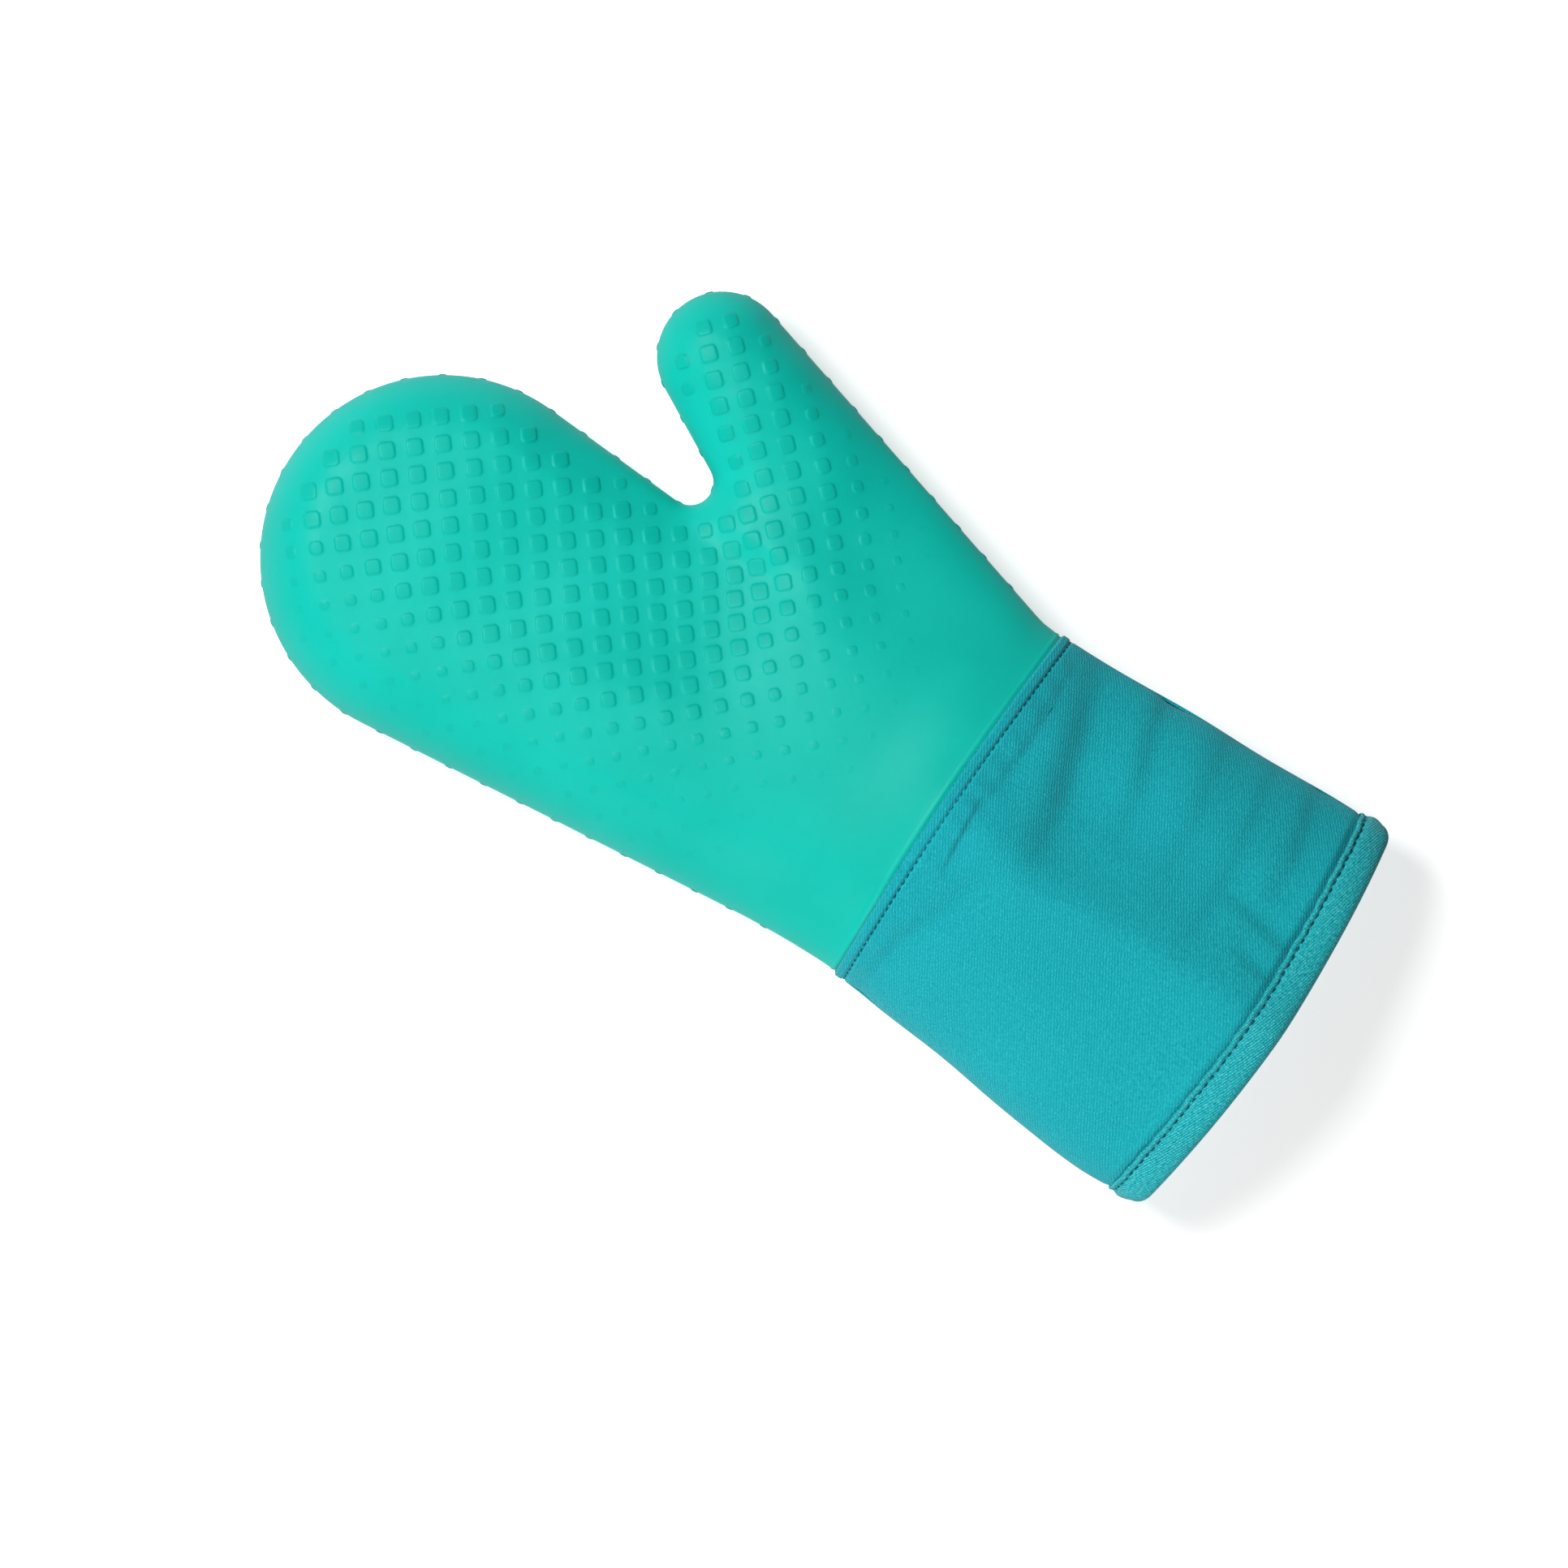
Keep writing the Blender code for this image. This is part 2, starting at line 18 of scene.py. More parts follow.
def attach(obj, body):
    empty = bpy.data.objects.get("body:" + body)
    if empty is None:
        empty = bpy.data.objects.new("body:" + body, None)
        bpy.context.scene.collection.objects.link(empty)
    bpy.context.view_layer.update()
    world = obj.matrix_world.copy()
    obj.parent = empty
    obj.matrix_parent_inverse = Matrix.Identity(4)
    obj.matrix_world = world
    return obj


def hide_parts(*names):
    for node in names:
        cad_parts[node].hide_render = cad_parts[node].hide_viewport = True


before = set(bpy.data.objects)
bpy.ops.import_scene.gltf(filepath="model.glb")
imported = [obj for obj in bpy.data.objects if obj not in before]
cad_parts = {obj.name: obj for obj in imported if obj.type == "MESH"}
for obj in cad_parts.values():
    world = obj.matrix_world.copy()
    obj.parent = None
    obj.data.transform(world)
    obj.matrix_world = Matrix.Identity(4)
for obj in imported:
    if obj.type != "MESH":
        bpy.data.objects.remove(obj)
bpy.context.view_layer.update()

MM = 0.001
# Where the world's origin lies on the plan.
PLAN_ORIGIN = np.array([6.3, 162.0, 0.0])
ABOVE, BELOW = 1, -1

# The plan's edge is a belt round discs: x, y and radius, negative where it curves inwards.
THUMB_TIP = (71.5, 242.0, 19.4)
CROTCH = (35.5, 229.2, -6.8)
FINGERTIPS = (-24.0, 277.0, 54.3)
DISCS = [
    (64.8, 0.0, 0.0),
    (108.5, 110.0, -50.0),
    THUMB_TIP,
    CROTCH,
    FINGERTIPS,
    (-360.2, 112.0, -300.0),
    (-120.2, 110.0, -60.0),
    (52.4, 24.0, 120.0),
    (-66.6, 0.0, 0.0),
]
# The two faces meet in this plane.
MIDDLE_Z = 23.0
# How far the outside lies over it on the cuff and the thumb, and below it on the cuff.
CUFF_RISE = 29.0
THUMB_RISE = 18.8
CUFF_DEPTH = 20.65
# How far in from the plan's edge the surface rounds over, on the cuff and on the hand.
CUFF_EDGE_REACH = 30.0
HAND_EDGE_REACH = 19.0
# The cuff's upper edge: where it lies at the sides, and how much higher its middle is.
SEAM_Y = 112.3
SEAM_BOW = 2.8
# The silicone's lower edge under the cuff, and where its net begins to follow the plan's edge.
MOULD_END_Y = 103.3
HAND_START_Y = 119.0
# The mouth: its middle, its half width, how far each face arches out, and its corners' radius.
HEM_MIDDLE_X = -0.9
HEM_HALF_WIDTH = 65.7
HEM_ARCH = {ABOVE: 5.0, BELOW: 3.5}
MOUTH_CORNER = 3.6


def blend(value, low, high):
    """0 up to low, 1 from high, and an even S between them; low may be the larger."""
    t = np.clip((value - low) / (high - low), 0, 1)
    return t * t * (3 - 2 * t)


def hump(value, width):
    """A smooth hump, 1 where value is 0."""
    return np.exp(-((value / width) ** 2))


def soft_ramp(value, width):
    """0 below 0 and value above it, with a soft bend between."""
    return np.logaddexp(0, value / width) * width


def arch_along(share, power):
    """0 at a line's two ends and 1 in its middle."""
    return np.sin(math.pi * np.clip(share, 0, 1)) ** power


def lengths_along(points):
    """The distance along a line of points at each of them."""
    steps = np.linalg.norm(np.diff(points, axis=0), axis=1)
    return np.concatenate([[0], np.cumsum(steps)])


def belt(step):
    """Points along the plan's edge about a step apart, and the direction in at each."""
    headings = []
    for (x0, y0, r0), (x1, y1, r1) in zip(DISCS, DISCS[1:]):
        along = math.sqrt((x1 - x0) ** 2 + (y1 - y0) ** 2 - (r1 - r0) ** 2)
        headings.append(math.atan2(y1 - y0, x1 - x0) - math.atan2(r1 - r0, along))
    headings = [headings[0], *headings, headings[-1]]
    points, inward = [], []
    for i, (x, y, radius) in enumerate(DISCS):
        turn = math.remainder(headings[i + 1] - headings[i], math.tau)
        if turn * radius < 0:
            turn += math.copysign(math.tau, radius)
        steps = math.ceil(abs(turn * radius) / min(step, abs(radius) / 6 + 0.1))
        for k in range(steps + 1):
            heading = headings[i] + turn * k / max(steps, 1)
            normal = np.array([-math.sin(heading), math.cos(heading)])
            points.append((x, y) - radius * normal)
            inward.append(normal)
        if i + 1 < len(DISCS):
            x1, y1, r1 = DISCS[i + 1]
            start, end = points[-1], (x1, y1) - r1 * normal
            steps = math.ceil(np.linalg.norm(end - start) / step)
            for k in range(1, steps):
                points.append(start + (end - start) * k / steps)
                inward.append(normal)
    return np.array(points), np.array(inward)


# The plan's edge, led on past the hem at both ends so that points there find it beside them.
EDGE, EDGE_INWARD = belt(2.0)
EDGE = np.vstack([2 * EDGE[0] - EDGE[4], EDGE, 2 * EDGE[-1] - EDGE[-5]])
EDGE_INWARD = np.vstack([EDGE_INWARD[0], EDGE_INWARD, EDGE_INWARD[-1]])
# Points of the plan nearer to its edge than this are taken as on it.
ON_EDGE = 0.3


def plan(points):
    """Rows of x, y, depth inside the plan's edge, and the direction in from it."""
    start, run = EDGE[:-1], np.diff(EDGE, axis=0)
    lengths = (run * run).sum(axis=1)
    rows = []
    for part in np.array_split(points, len(points) // 3000 + 1):
        away = part[:, None, :] - start[None]
        share = np.clip((away * run).sum(axis=2) / lengths, 0, 1)
        gap = away - share[..., None] * run
        far = np.linalg.norm(gap, axis=2)
        near = far.argmin(axis=1)
        one = np.arange(len(part))
        depth = far[one, near]
        inward = gap[one, near] / np.maximum(depth, 1e-3)[:, None]
        inward[depth < ON_EDGE] = EDGE_INWARD[near[depth < ON_EDGE]]
        rows.append(np.column_stack([part, depth, inward]))
    return np.vstack(rows)


def inside(points, loop):
    """Whether each point is inside a closed loop of points."""
    x, y = points.T[:, :, None]
    x0, y0 = loop.T
    x1, y1 = np.roll(loop, -1, axis=0).T
    slope = np.where(y1 == y0, 1e-9, y1 - y0)
    crosses = ((y0 > y) != (y1 > y)) & (x < x0 + (y - y0) / slope * (x1 - x0))
    return crosses.sum(axis=1) % 2 == 1


def side_x(y, side):
    """The edge of the cuff at y: side 1 is the thumb's, -1 the little finger's."""
    points = EDGE[::side]
    top = np.argmax(np.diff(points[:, 1]) <= 0)
    return np.interp(y, points[: top + 1, 1], points[: top + 1, 0])


def edge_reach(y):
    """How far in from the plan's edge the surface rounds over."""
    return CUFF_EDGE_REACH + (HAND_EDGE_REACH - CUFF_EDGE_REACH) * blend(y, SEAM_Y, CROTCH[1])


def seam_bow(x, y=SEAM_Y):
    """How much higher than at the sides a line across the cuff lies, most at the cuff's edge."""
    return SEAM_BOW * (y / SEAM_Y) ** 3 * (1 - ((x - HEM_MIDDLE_X) / HEM_HALF_WIDTH) ** 2)


def along_line(x, y, points):
    """Distance to a drawn line, positive on its left, and the share of its length there."""
    points = np.array(points, dtype=float)
    run = np.diff(points, axis=0)
    lengths = np.linalg.norm(run, axis=1)
    before = lengths_along(points)[:-1]
    away = np.stack([x, y], axis=-1)[..., None, :] - points[:-1]
    share = np.clip((away * run).sum(axis=-1) / lengths**2, 0, 1)
    gap = away - share[..., None] * run
    far = np.linalg.norm(gap, axis=-1)
    side = np.sign(run[:, 0] * gap[..., 1] - run[:, 1] * gap[..., 0])
    near = far.argmin(axis=-1)[..., None]
    at = np.take_along_axis(before + share * lengths, near, -1)[..., 0]
    return np.take_along_axis(far * side, near, -1)[..., 0], at / lengths.sum()


# The palm's hollow is a valley that starts near the crotch and runs down across the palm.
VALLEY_START = (35, 222)
VALLEY_WAY = (0.81, 0.584)
HOLLOW_DEPTH = 4.0
# The cuff's deepest fold, from the middle up to the thumb's side.
DEEP_FOLD = ((-8, 77.5), (18, 81.5), (38, 88), (80, 104.5))
DEEP_FOLD_DEPTH = 5.0
# The heel of the hand stands up, and the wrist is drawn in at the little finger's side.
HEEL_HEIGHT = 2.4
PINCH_DEPTH = 3.2
# How steeply the upper face falls to the thumb's side: on the fingers, the palm, the wrist and the
# cuff, and on the cuff to the other side.
FINGER_SLOPE, PALM_SLOPE, WRIST_SLOPE, CUFF_SLOPE, OUTER_SLOPE = 0.2, 0.09, 0.3, 0.32, 0.1


def relief(x, y):
    """The soft forms of the upper face, negative where it lies lower."""
    right, up = x - VALLEY_START[0], y - VALLEY_START[1]
    from_valley = up * VALLEY_WAY[0] - right * VALLEY_WAY[1]
    along_valley = -right * VALLEY_WAY[0] - up * VALLEY_WAY[1]
    hollow = 1 - blend(np.abs(from_valley), 0, np.where(from_valley > 0, 46, 38))
    hollow = hollow * (1 - blend(along_valley, 30, 75)) * blend(along_valley, -25, 5)

    from_ridge = x + 23 + (y - 195) * 0.3
    fingers = soft_ramp(from_ridge, 1.5) - 0.85 * soft_ramp(from_ridge - 15, 6)
    fingers = fingers * blend(y, 178, 200) * (1 - blend(y, 245, 285)) * (1 - blend(x, 22, 34))
    from_crease = x + 20 + (y - 125) * 0.16
    palm = soft_ramp(from_crease, 1.5) - soft_ramp(from_crease - 12, 6)
    palm = palm * blend(y, 118, 140) * (1 - blend(y, 180, 200))
    wrist = soft_ramp(x - 22, 5) - 1.3 * soft_ramp(x - 47, 4)

    on_cuff = 1 - blend(y, 92, 130)
    wrist = wrist * (1 - on_cuff) * (1 - blend(y, 160, 205))
    cuff = (soft_ramp(x + 3, 1.8) - 0.68 * soft_ramp(x - 11, 6)) * on_cuff
    outer = (soft_ramp(-x - 3, 2.5) - soft_ramp(-x - 40, 6)) * on_cuff
    falls = FINGER_SLOPE * fingers + PALM_SLOPE * palm + WRIST_SLOPE * wrist
    falls = falls + CUFF_SLOPE * cuff + OUTER_SLOPE * outer

    heel = hump(x + 3, 30) * (1 - blend(y, 128, 205))
    pinch = (1 - blend(x, -58, -26)) * (1 - blend(y, 118, 165))
    far, share = along_line(x, y, DEEP_FOLD)
    fold = hump(far, np.where(far > 0, 6.5, 20)) * arch_along(share, 0.8)
    raised = HEEL_HEIGHT * heel - PINCH_DEPTH * pinch
    return raised - HOLLOW_DEPTH * hollow - falls - DEEP_FOLD_DEPTH * fold


def crest(x, y, face):
    """Height of the outside surface over the middle plane, or depth below it, before rounding."""
    if face == BELOW:
        depth = CUFF_DEPTH + 1.05 * blend(y, 10, 20)
        return depth + 0.4 * blend(y, SEAM_Y, SEAM_Y + 9)
    # It falls to the hand and on to the fingers, is crowned across, and dips to the thumb.
    rise = CUFF_RISE - 2.5 * blend(y, SEAM_Y - 9, SEAM_Y + 36)
    fingers = blend(y, 110.0, CROTCH[1])
    rise -= 1.5 * fingers
    rise -= 5.5 * ((x + 30.8 * fingers) / FINGERTIPS[2]) ** 2 * (0.45 + 0.55 * fingers)
    over_thumb = blend(x, 15.1, 49.1)
    up_thumb = blend(y + (x - THUMB_TIP[0]) / 2, 171.0, CROTCH[1])
    rise = rise + (THUMB_RISE - rise) * over_thumb * up_thumb
    return rise + relief(x, y) * (1 - over_thumb * up_thumb)


def lift(rows, inset, face, seam=0.0):
    """Places plan rows on the layer at this inset, and at least seam from the middle plane."""
    x, y, depth, in_x, in_y = rows.T
    arch = np.clip(1 - np.abs((x - HEM_MIDDLE_X) / HEM_HALF_WIDTH) ** 1.7, 0, 1)
    share = np.clip(depth / edge_reach(y), 0, 1)
    turned = 1 - np.sqrt(1 - np.clip(1 - depth / MOUTH_CORNER, 0, 1) ** 2)
    rounding = MOUTH_CORNER * turned * blend(y, 8, 0)
    slide = inset * (1 - share)
    height = (crest(x, y, face) - inset - seam) * np.sqrt(1 - (1 - share) ** 2)
    y = y + in_y * slide - HEM_ARCH[face] * arch * blend(y, 60, 0) + rounding
    return np.column_stack([x + in_x * slide, y, MIDDLE_Z + face * (seam + height)])


def depths_of(angles):
    """The share of the rounding's reach at which the surface has turned by each angle."""
    return 1 - np.cos(np.radians(angles))


def cuff_rows(y, angles, flats):
    """Plan rows for one line across the cuff, from the thumb side to the other."""
    right, left = side_x(y, 1), side_x(y, -1)
    reach = edge_reach(y)
    rounded = depths_of(angles) * reach
    wide = right - left - 2 * reach
    flat = reach + wide * np.arange(1, flats + 1) / (flats + 1)
    rows = [(right - d, y, d, -1, 0) for d in rounded]
    rows += [(right - d, y, min(d, right - left - d), 0, 0) for d in flat]
    rows += [(left + d, y, d, 1, 0) for d in rounded[::-1]]
    return np.array(rows, dtype=float)


# ---- Meshes ----


def band(first, second):
    """The faces between two lines of places."""
    return list(zip(first, first[1:], second[1:], second))


def ring_faces(first, rings, wide, closed=False):
    """The faces between rings of places, each ring joined to the next."""
    loops = [[*range(a, a + wide), a] for a in range(first, first + rings * wide, wide)]
    if closed:
        loops.append(loops[0])
    return [face for here, there in zip(loops, loops[1:]) for face in band(here, there)]


def fan_faces(first, wide, tip):
    """The faces from a ring of places to its middle."""
    return [(first + k, first + (k + 1) % wide, tip) for k in range(wide)]


def circle(centre, right, up, radius, wide):
    """Places round a centre, in the plane of two directions."""
    ways = [math.tau * k / wide for k in range(wide)]
    return [centre + radius * (right * math.cos(way) + up * math.sin(way)) for way in ways]


def moved_faces(faces, first):
    """Faces whose places now start at a later number."""
    return [tuple(k + first for k in face) for face in faces]


def turned_faces(faces, first):
    """The same, seen from their other side."""
    return [tuple(k + first for k in reversed(face)) for face in faces]


def compact(places, faces, *values):
    """Drops the places that no face uses."""
    used = np.array(sorted({k for face in faces for k in face}))
    new = np.full(len(places), -1)
    new[used] = np.arange(len(used))
    return places[used], [tuple(new[list(face)]) for face in faces], *(v[used] for v in values)


def grid_sheet(outer, inner):
    """A closed sheet between two grids of places."""
    wide = outer.shape[1]
    count = outer.shape[0] * wide
    faces = []
    for k in range(0, count - wide, wide):
        faces += band(range(k, k + wide), range(k + wide, k + 2 * wide))
    faces += turned_faces(faces, count)
    border = [*range(wide), *range(2 * wide - 1, count, wide)]
    border += [*range(count - 2, count - wide - 1, -1), *range(count - 2 * wide, 0, -wide)]
    faces += [(b, a, a + count, b + count) for a, b in zip(border, border[1:] + border[:1])]
    return np.vstack([outer.reshape(-1, 3), inner.reshape(-1, 3)]), faces


def new_object(name, data):
    """An object with this data, in the scene."""
    made = bpy.data.objects.new(name, data)
    bpy.context.scene.collection.objects.link(made)
    return made


def finish_piece(name, places, faces, material, nodes, floats=None, weave=None):
    """Makes the object and rides it on the part in place of its solids."""
    mesh = bpy.data.meshes.new(name)
    places = (np.asarray(places) - PLAN_ORIGIN) * MM
    mesh.from_pydata(places.tolist(), [], [tuple(map(int, face)) for face in faces])
    for key, values in (floats or {}).items():
        layer = mesh.attributes.new(key, "FLOAT", "POINT")
        layer.data.foreach_set("value", np.asarray(values, np.float32))
    if weave is not None:
        layer = mesh.attributes.new("weave", "FLOAT_VECTOR", "POINT")
        layer.data.foreach_set("vector", (np.asarray(weave, np.float32) * MM).ravel())
    bm = bmesh.new()
    bm.from_mesh(mesh)
    bmesh.ops.recalc_face_normals(bm, faces=bm.faces)
    bm.to_mesh(mesh)
    bm.free()
    mesh.shade_smooth()
    mesh.materials.append(material)
    piece = new_object(name, mesh)
    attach(piece, "root")
    if nodes:
        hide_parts(*nodes)
    return piece


# ---- The net over the hand's plan ----

# The lattice of grip studs: where it starts, the steps to the next column and row, and how much
# its columns lean on the fingers and on the thumb.
STUD_START = (3.1, 179.0)
STUD_STEP = (5.87, 5.64)
FINGER_LEAN, THUMB_LEAN = 0.0685, 0.07
STUD_SIDE = 5.0
STUD_HEIGHT = 0.5
STUD_CORNER = 1.35
# From a stud's middle to its corners, as a share of its side.
HALF_DIAGONAL = 0.71
# The rings of places up a stud: how far out of its sides each lies, and its share of the height.
STUD_RINGS = ((0.5, 0.0), (0.24, 0.03), (0.04, 0.2), (-0.2, 0.72), (-0.38, 0.93), (-0.75, 1.0))
SMALL_STUD_RINGS = ((0.55, 0.0), (0.25, 0.0), (0.03, 0.2), (-0.18, 0.7), (-0.4, 0.95))
# How far the net's loose points keep from its rings and from the studs.
RING_GAP = 0.35
STUD_GAP = 1.15


def side_of(full):
    """The length of a stud's sides from its share of the full size: faint studs are wide and low."""
    return STUD_SIDE * full + 1.9 * np.maximum(0.81 - full, 0)


def stud_place(column, row):
    """Where one stud of the lattice stands on the plan, and how far it is turned."""
    x, rise = STUD_START[0] + column * STUD_STEP[0], row * STUD_STEP[1]
    thumb = blend(x, 24, 42)
    # The rows sag towards the crotch, and start lower down under the thumb.
    start = 0.8 * max(x - 24, 0)
    sag = 6.6 * np.clip((x + 26) / 46, 0, 1.05) * (1 - 0.7 * blend(x, 45, 60))
    sag *= blend(rise, start, start + 46) * (1 - 0.35 * blend(rise, 60, 130))
    sag += 3.0 * blend(x, 30, 60) * (1 - blend(rise, x - 50, x - 10))
    lean = FINGER_LEAN * max(rise - 22.3, 0) * (1 - thumb)
    lean -= THUMB_LEAN * max(rise - 10, 0) * thumb
    lean -= 2.2 * np.clip((x + 12) / 38, 0, 1) * (1 - thumb) * hump(rise - 45, 30)
    turn = math.atan(-FINGER_LEAN) * (1 - thumb) + math.atan(THUMB_LEAN) * thumb
    y = STUD_START[1] + rise - sag + 0.1 * min(rise + 11.3, 0)
    return x + lean, y, turn * blend(rise, 0, 25)


def stud_share(x, y):
    """The share of its full size that a stud has here."""
    outer = -35 + 26 * np.clip((250 - y) / 70, 0, 1) ** 2
    below = (x - 45) * 0.87 - (y - 183) * 0.49
    to_side = np.clip(1 - (outer - x) * 0.031, 0.27, 1)
    to_thumb = np.clip(1 - (below - 2) * 0.037, 0.24, 1)
    to_wrist = np.clip(1 - (190.5 - y) * 0.0198, 0.15, 1)
    return to_side * to_thumb * to_wrist


def grip_studs():
    """Each grip stud's centre in plan, its share of the full size and how far it is turned."""
    found = []
    for row in range(-7, 27):
        for column in range(-13, 16):
            if (column + row) % 2 == 0:
                x, y, turn = stud_place(column, row)
                found.append((x, y, stud_share(x, y), turn))
    found = np.array(found)
    depth = plan(found[:, :2])[:, 2]
    found[:, 2] *= 0.5 + 0.5 * blend(depth, 2, 12)
    keep = inside(found[:, :2], EDGE) & (found[:, 1] > 140) & (found[:, 2] > 0.1)
    # Those that would reach into the rings along the edge are left out.
    margin = depths_of(30) * edge_reach(found[:, 1]) + np.where(found[:, 1] < 160, 2.2, 0.6)
    keep &= depth > side_of(found[:, 2]) * HALF_DIAGONAL + margin
    return found[keep]


def stud_loop(side, corner, count):
    """A rounded square that stands on its corner, as points round it."""
    reach = (side / 2 - corner) * math.sqrt(2)
    points = []
    for quarter in range(4):
        way = math.pi / 2 * quarter
        for angle in np.linspace(-math.pi / 4, math.pi / 4, count // 4 + 1)[:-1] + math.pi / count:
            x = reach * math.cos(way) + corner * math.cos(way + angle)
            points.append((x, reach * math.sin(way) + corner * math.sin(way + angle)))
    return np.array(points)


def flat_rows(points):
    """Plan rows whose depth and direction in aren't known yet."""
    return np.column_stack([points, np.zeros((len(points), 3))])


class Net:
    """A net over the plan as it grows: its plan rows, its faces, and each row's rise, tint and
    painted shade.
    """

    def __init__(self):
        self.rows, self.faces, self.marks = [], [], []

    def add(self, rows, height=0.0, strength=0.0, share=0.0):
        """Adds rows at a share of a stud's height, tinted as its top, and darkened on its wall as
        painted shade.
        """
        first = len(self.rows)
        self.rows.extend(tuple(row) for row in rows)
        # The wall's darkening is painted shade, most halfway up the stud.
        top, wall = strength * share, 4 * strength * share * (1 - share)
        self.marks.extend([(height * share, top, wall)] * len(rows))
        return list(range(first, len(self.rows)))

    def add_stud(self, x, y, full, turn):
        """Adds one stud and returns its lowest ring."""
        side = side_of(full)
        count, profile = (12, SMALL_STUD_RINGS) if full < 0.5 else (16, STUD_RINGS)
        spin = np.array([[math.cos(turn), -math.sin(turn)], [math.sin(turn), math.cos(turn)]])
        height = STUD_HEIGHT * min(1.0, 0.03 + 1.1 * full**1.2)
        strength = min(1.0, 0.22 + 0.9 * full)
        rings = []
        for offset, share in profile:
            wide = side + 2 * offset
            corner = min(STUD_CORNER, side * 0.36) + offset * 0.7
            # A corner as large as half the side would make the loop cross itself.
            corner = min(max(corner, 0.25), wide * 0.48)
            outline = stud_loop(wide, corner, count) @ spin.T + (x, y)
            rings.append(self.add(flat_rows(outline), height, strength, share))
        tip = self.add([(x, y, 0, 0, 0)], height, strength, 1.0)[0]
        self.faces += ring_faces(rings[0][0], len(rings), count)
        self.faces += fan_faces(rings[-1][0], count, tip)
        return rings[0]


def loose_points(edge, inward, angles, fill_step, start_y, loop):
    """Points for the middle of the net: lines along the rounding, and a grid over the rest."""
    reach = edge_reach(edge[:, 1])
    found = []
    for r, share in enumerate(depths_of(angles)):
        line = edge + inward * (share * reach)[:, None]
        found.append(line[r % 2 :: 2] if share > 0.3 else line)
    row_step = fill_step * math.sqrt(0.75)
    xs, ys = np.meshgrid(np.arange(-90, 100, fill_step), np.arange(start_y, 335, row_step))
    xs = xs + (np.arange(len(ys)) % 2 * fill_step / 2)[:, None]
    grid = np.column_stack([xs.ravel(), ys.ravel()])
    grid = grid[inside(grid, EDGE)]
    depth = plan(grid)[:, 2]
    found.append(grid[depth > edge_reach(grid[:, 1]) * 0.98])
    found = np.vstack(found)
    return found[inside(found, loop) & (found[:, 1] > start_y + fill_step / 2)]


def fill_between(outlines, free):
    """Triangles inside the first outline and outside the others, through loose points as well.

    Their corners are numbered as the outlines' points and then the loose ones.
    """
    ties, first = [], 0
    for outline in outlines:
        ties += [(first + k, first + (k + 1) % len(outline)) for k in range(len(outline))]
        first += len(outline)
    points = [Vector(p) for p in np.vstack([*outlines, free])]
    found = delaunay_2d_cdt(points, ties, [], 0, 1e-6, True)
    spots = np.array([tuple(p) for p in found[0]])
    numbers = [ids[0] for ids in found[3]]
    triangles = np.array([tuple(face) for face in found[2]])
    middles = spots[triangles].mean(axis=1)
    keep = inside(middles, outlines[0])
    for hole in outlines[1:]:
        centre = hole.mean(axis=0)
        reach = np.abs(hole - centre).sum(axis=1).max()
        near = np.flatnonzero(keep & (np.abs(middles - centre).sum(axis=1) < reach))
        keep[near[inside(middles[near], hole)]] = False
    return [[numbers[k] for k in triangle] for triangle in triangles[keep]]


def hand_net(strip_lines, edge_step, fill_step, flats, angle_step, studs=()):
    """A net over the hand's plan, which each layer lifts to its own height.

    Lines cross the wrist, rings follow the plan's edge from there, and triangles fill the middle.
    Returns the plan rows, the faces, each row's rise, top tint and painted wall shade, and the first
    line's rows.
    """
    ring_angles = np.arange(0, 31, angle_step)
    angles = np.arange(0, 91, angle_step)
    net = Net()

    strip = [net.add(cuff_rows(y, angles, flats)) for y in strip_lines]
    for low, high in zip(strip, strip[1:]):
        net.faces += zip(low, high, high[1:], low[1:])
    top, start_y = strip[-1], strip_lines[-1]

    edge, inward = belt(edge_step)
    over = np.flatnonzero(edge[:, 1] > start_y + edge_step / 2)
    edge, inward = edge[over[0] : over[-1] + 1], inward[over[0] : over[-1] + 1]
    rings = []
    for r, share in enumerate(depths_of(ring_angles)):
        depth = share * edge_reach(edge[:, 1])
        ring = np.column_stack([edge + inward * depth[:, None], depth, inward])
        rings.append([top[r], *net.add(ring), top[-1 - r]])
    for outer, inner in zip(rings, rings[1:]):
        net.faces += band(outer, inner)

    # The middle is filled between the last ring and the foot of each stud.
    border = rings[-1] + top[-len(ring_angles) - 1 : len(ring_angles) - 1 : -1]
    loops = [border] + [net.add_stud(*stud) for stud in studs]
    outlines = [np.array([net.rows[k][:2] for k in loop]) for loop in loops]
    inner = angles[len(ring_angles) :]
    free = loose_points(edge, inward, inner, fill_step, start_y, outlines[0])
    depth = plan(free)[:, 2]
    free = free[depth > depths_of(ring_angles[-1]) * edge_reach(free[:, 1]) + RING_GAP]
    for x, y, full, _ in studs:
        away = np.abs(free - (x, y)).sum(axis=1)
        free = free[away - side_of(full) * HALF_DIAGONAL > STUD_GAP]
    known = sum(loops, []) + net.add(flat_rows(free))
    net.faces += [tuple(known[k] for k in triangle) for triangle in fill_between(outlines, free)]

    rows = np.array(net.rows)
    unplaced = ~(rows[:, 3:].any(axis=1) | (rows[:, 1] <= start_y))
    rows[unplaced] = plan(rows[unplaced, :2])
    return rows, net.faces, np.array(net.marks), strip[0]


def both_faces(rows, faces, inset):
    """Both faces of the hand's net, joined along the plan's edge, and where each row went."""
    count = len(rows)
    places = np.vstack([lift(rows, inset, ABOVE), lift(rows, inset, BELOW)])
    lower = np.arange(count) + count
    lower[rows[:, 2] == 0] = np.flatnonzero(rows[:, 2] == 0)
    under = [tuple(lower[k] for k in reversed(face)) for face in faces]
    return places, faces + under, lower


# ---- The moulded hand ----

SILICONE_WALL = 2.2
# The thin bead just above the cuff's edge.
BEAD_HEIGHT = 0.32
BEAD_GAP = 1.2
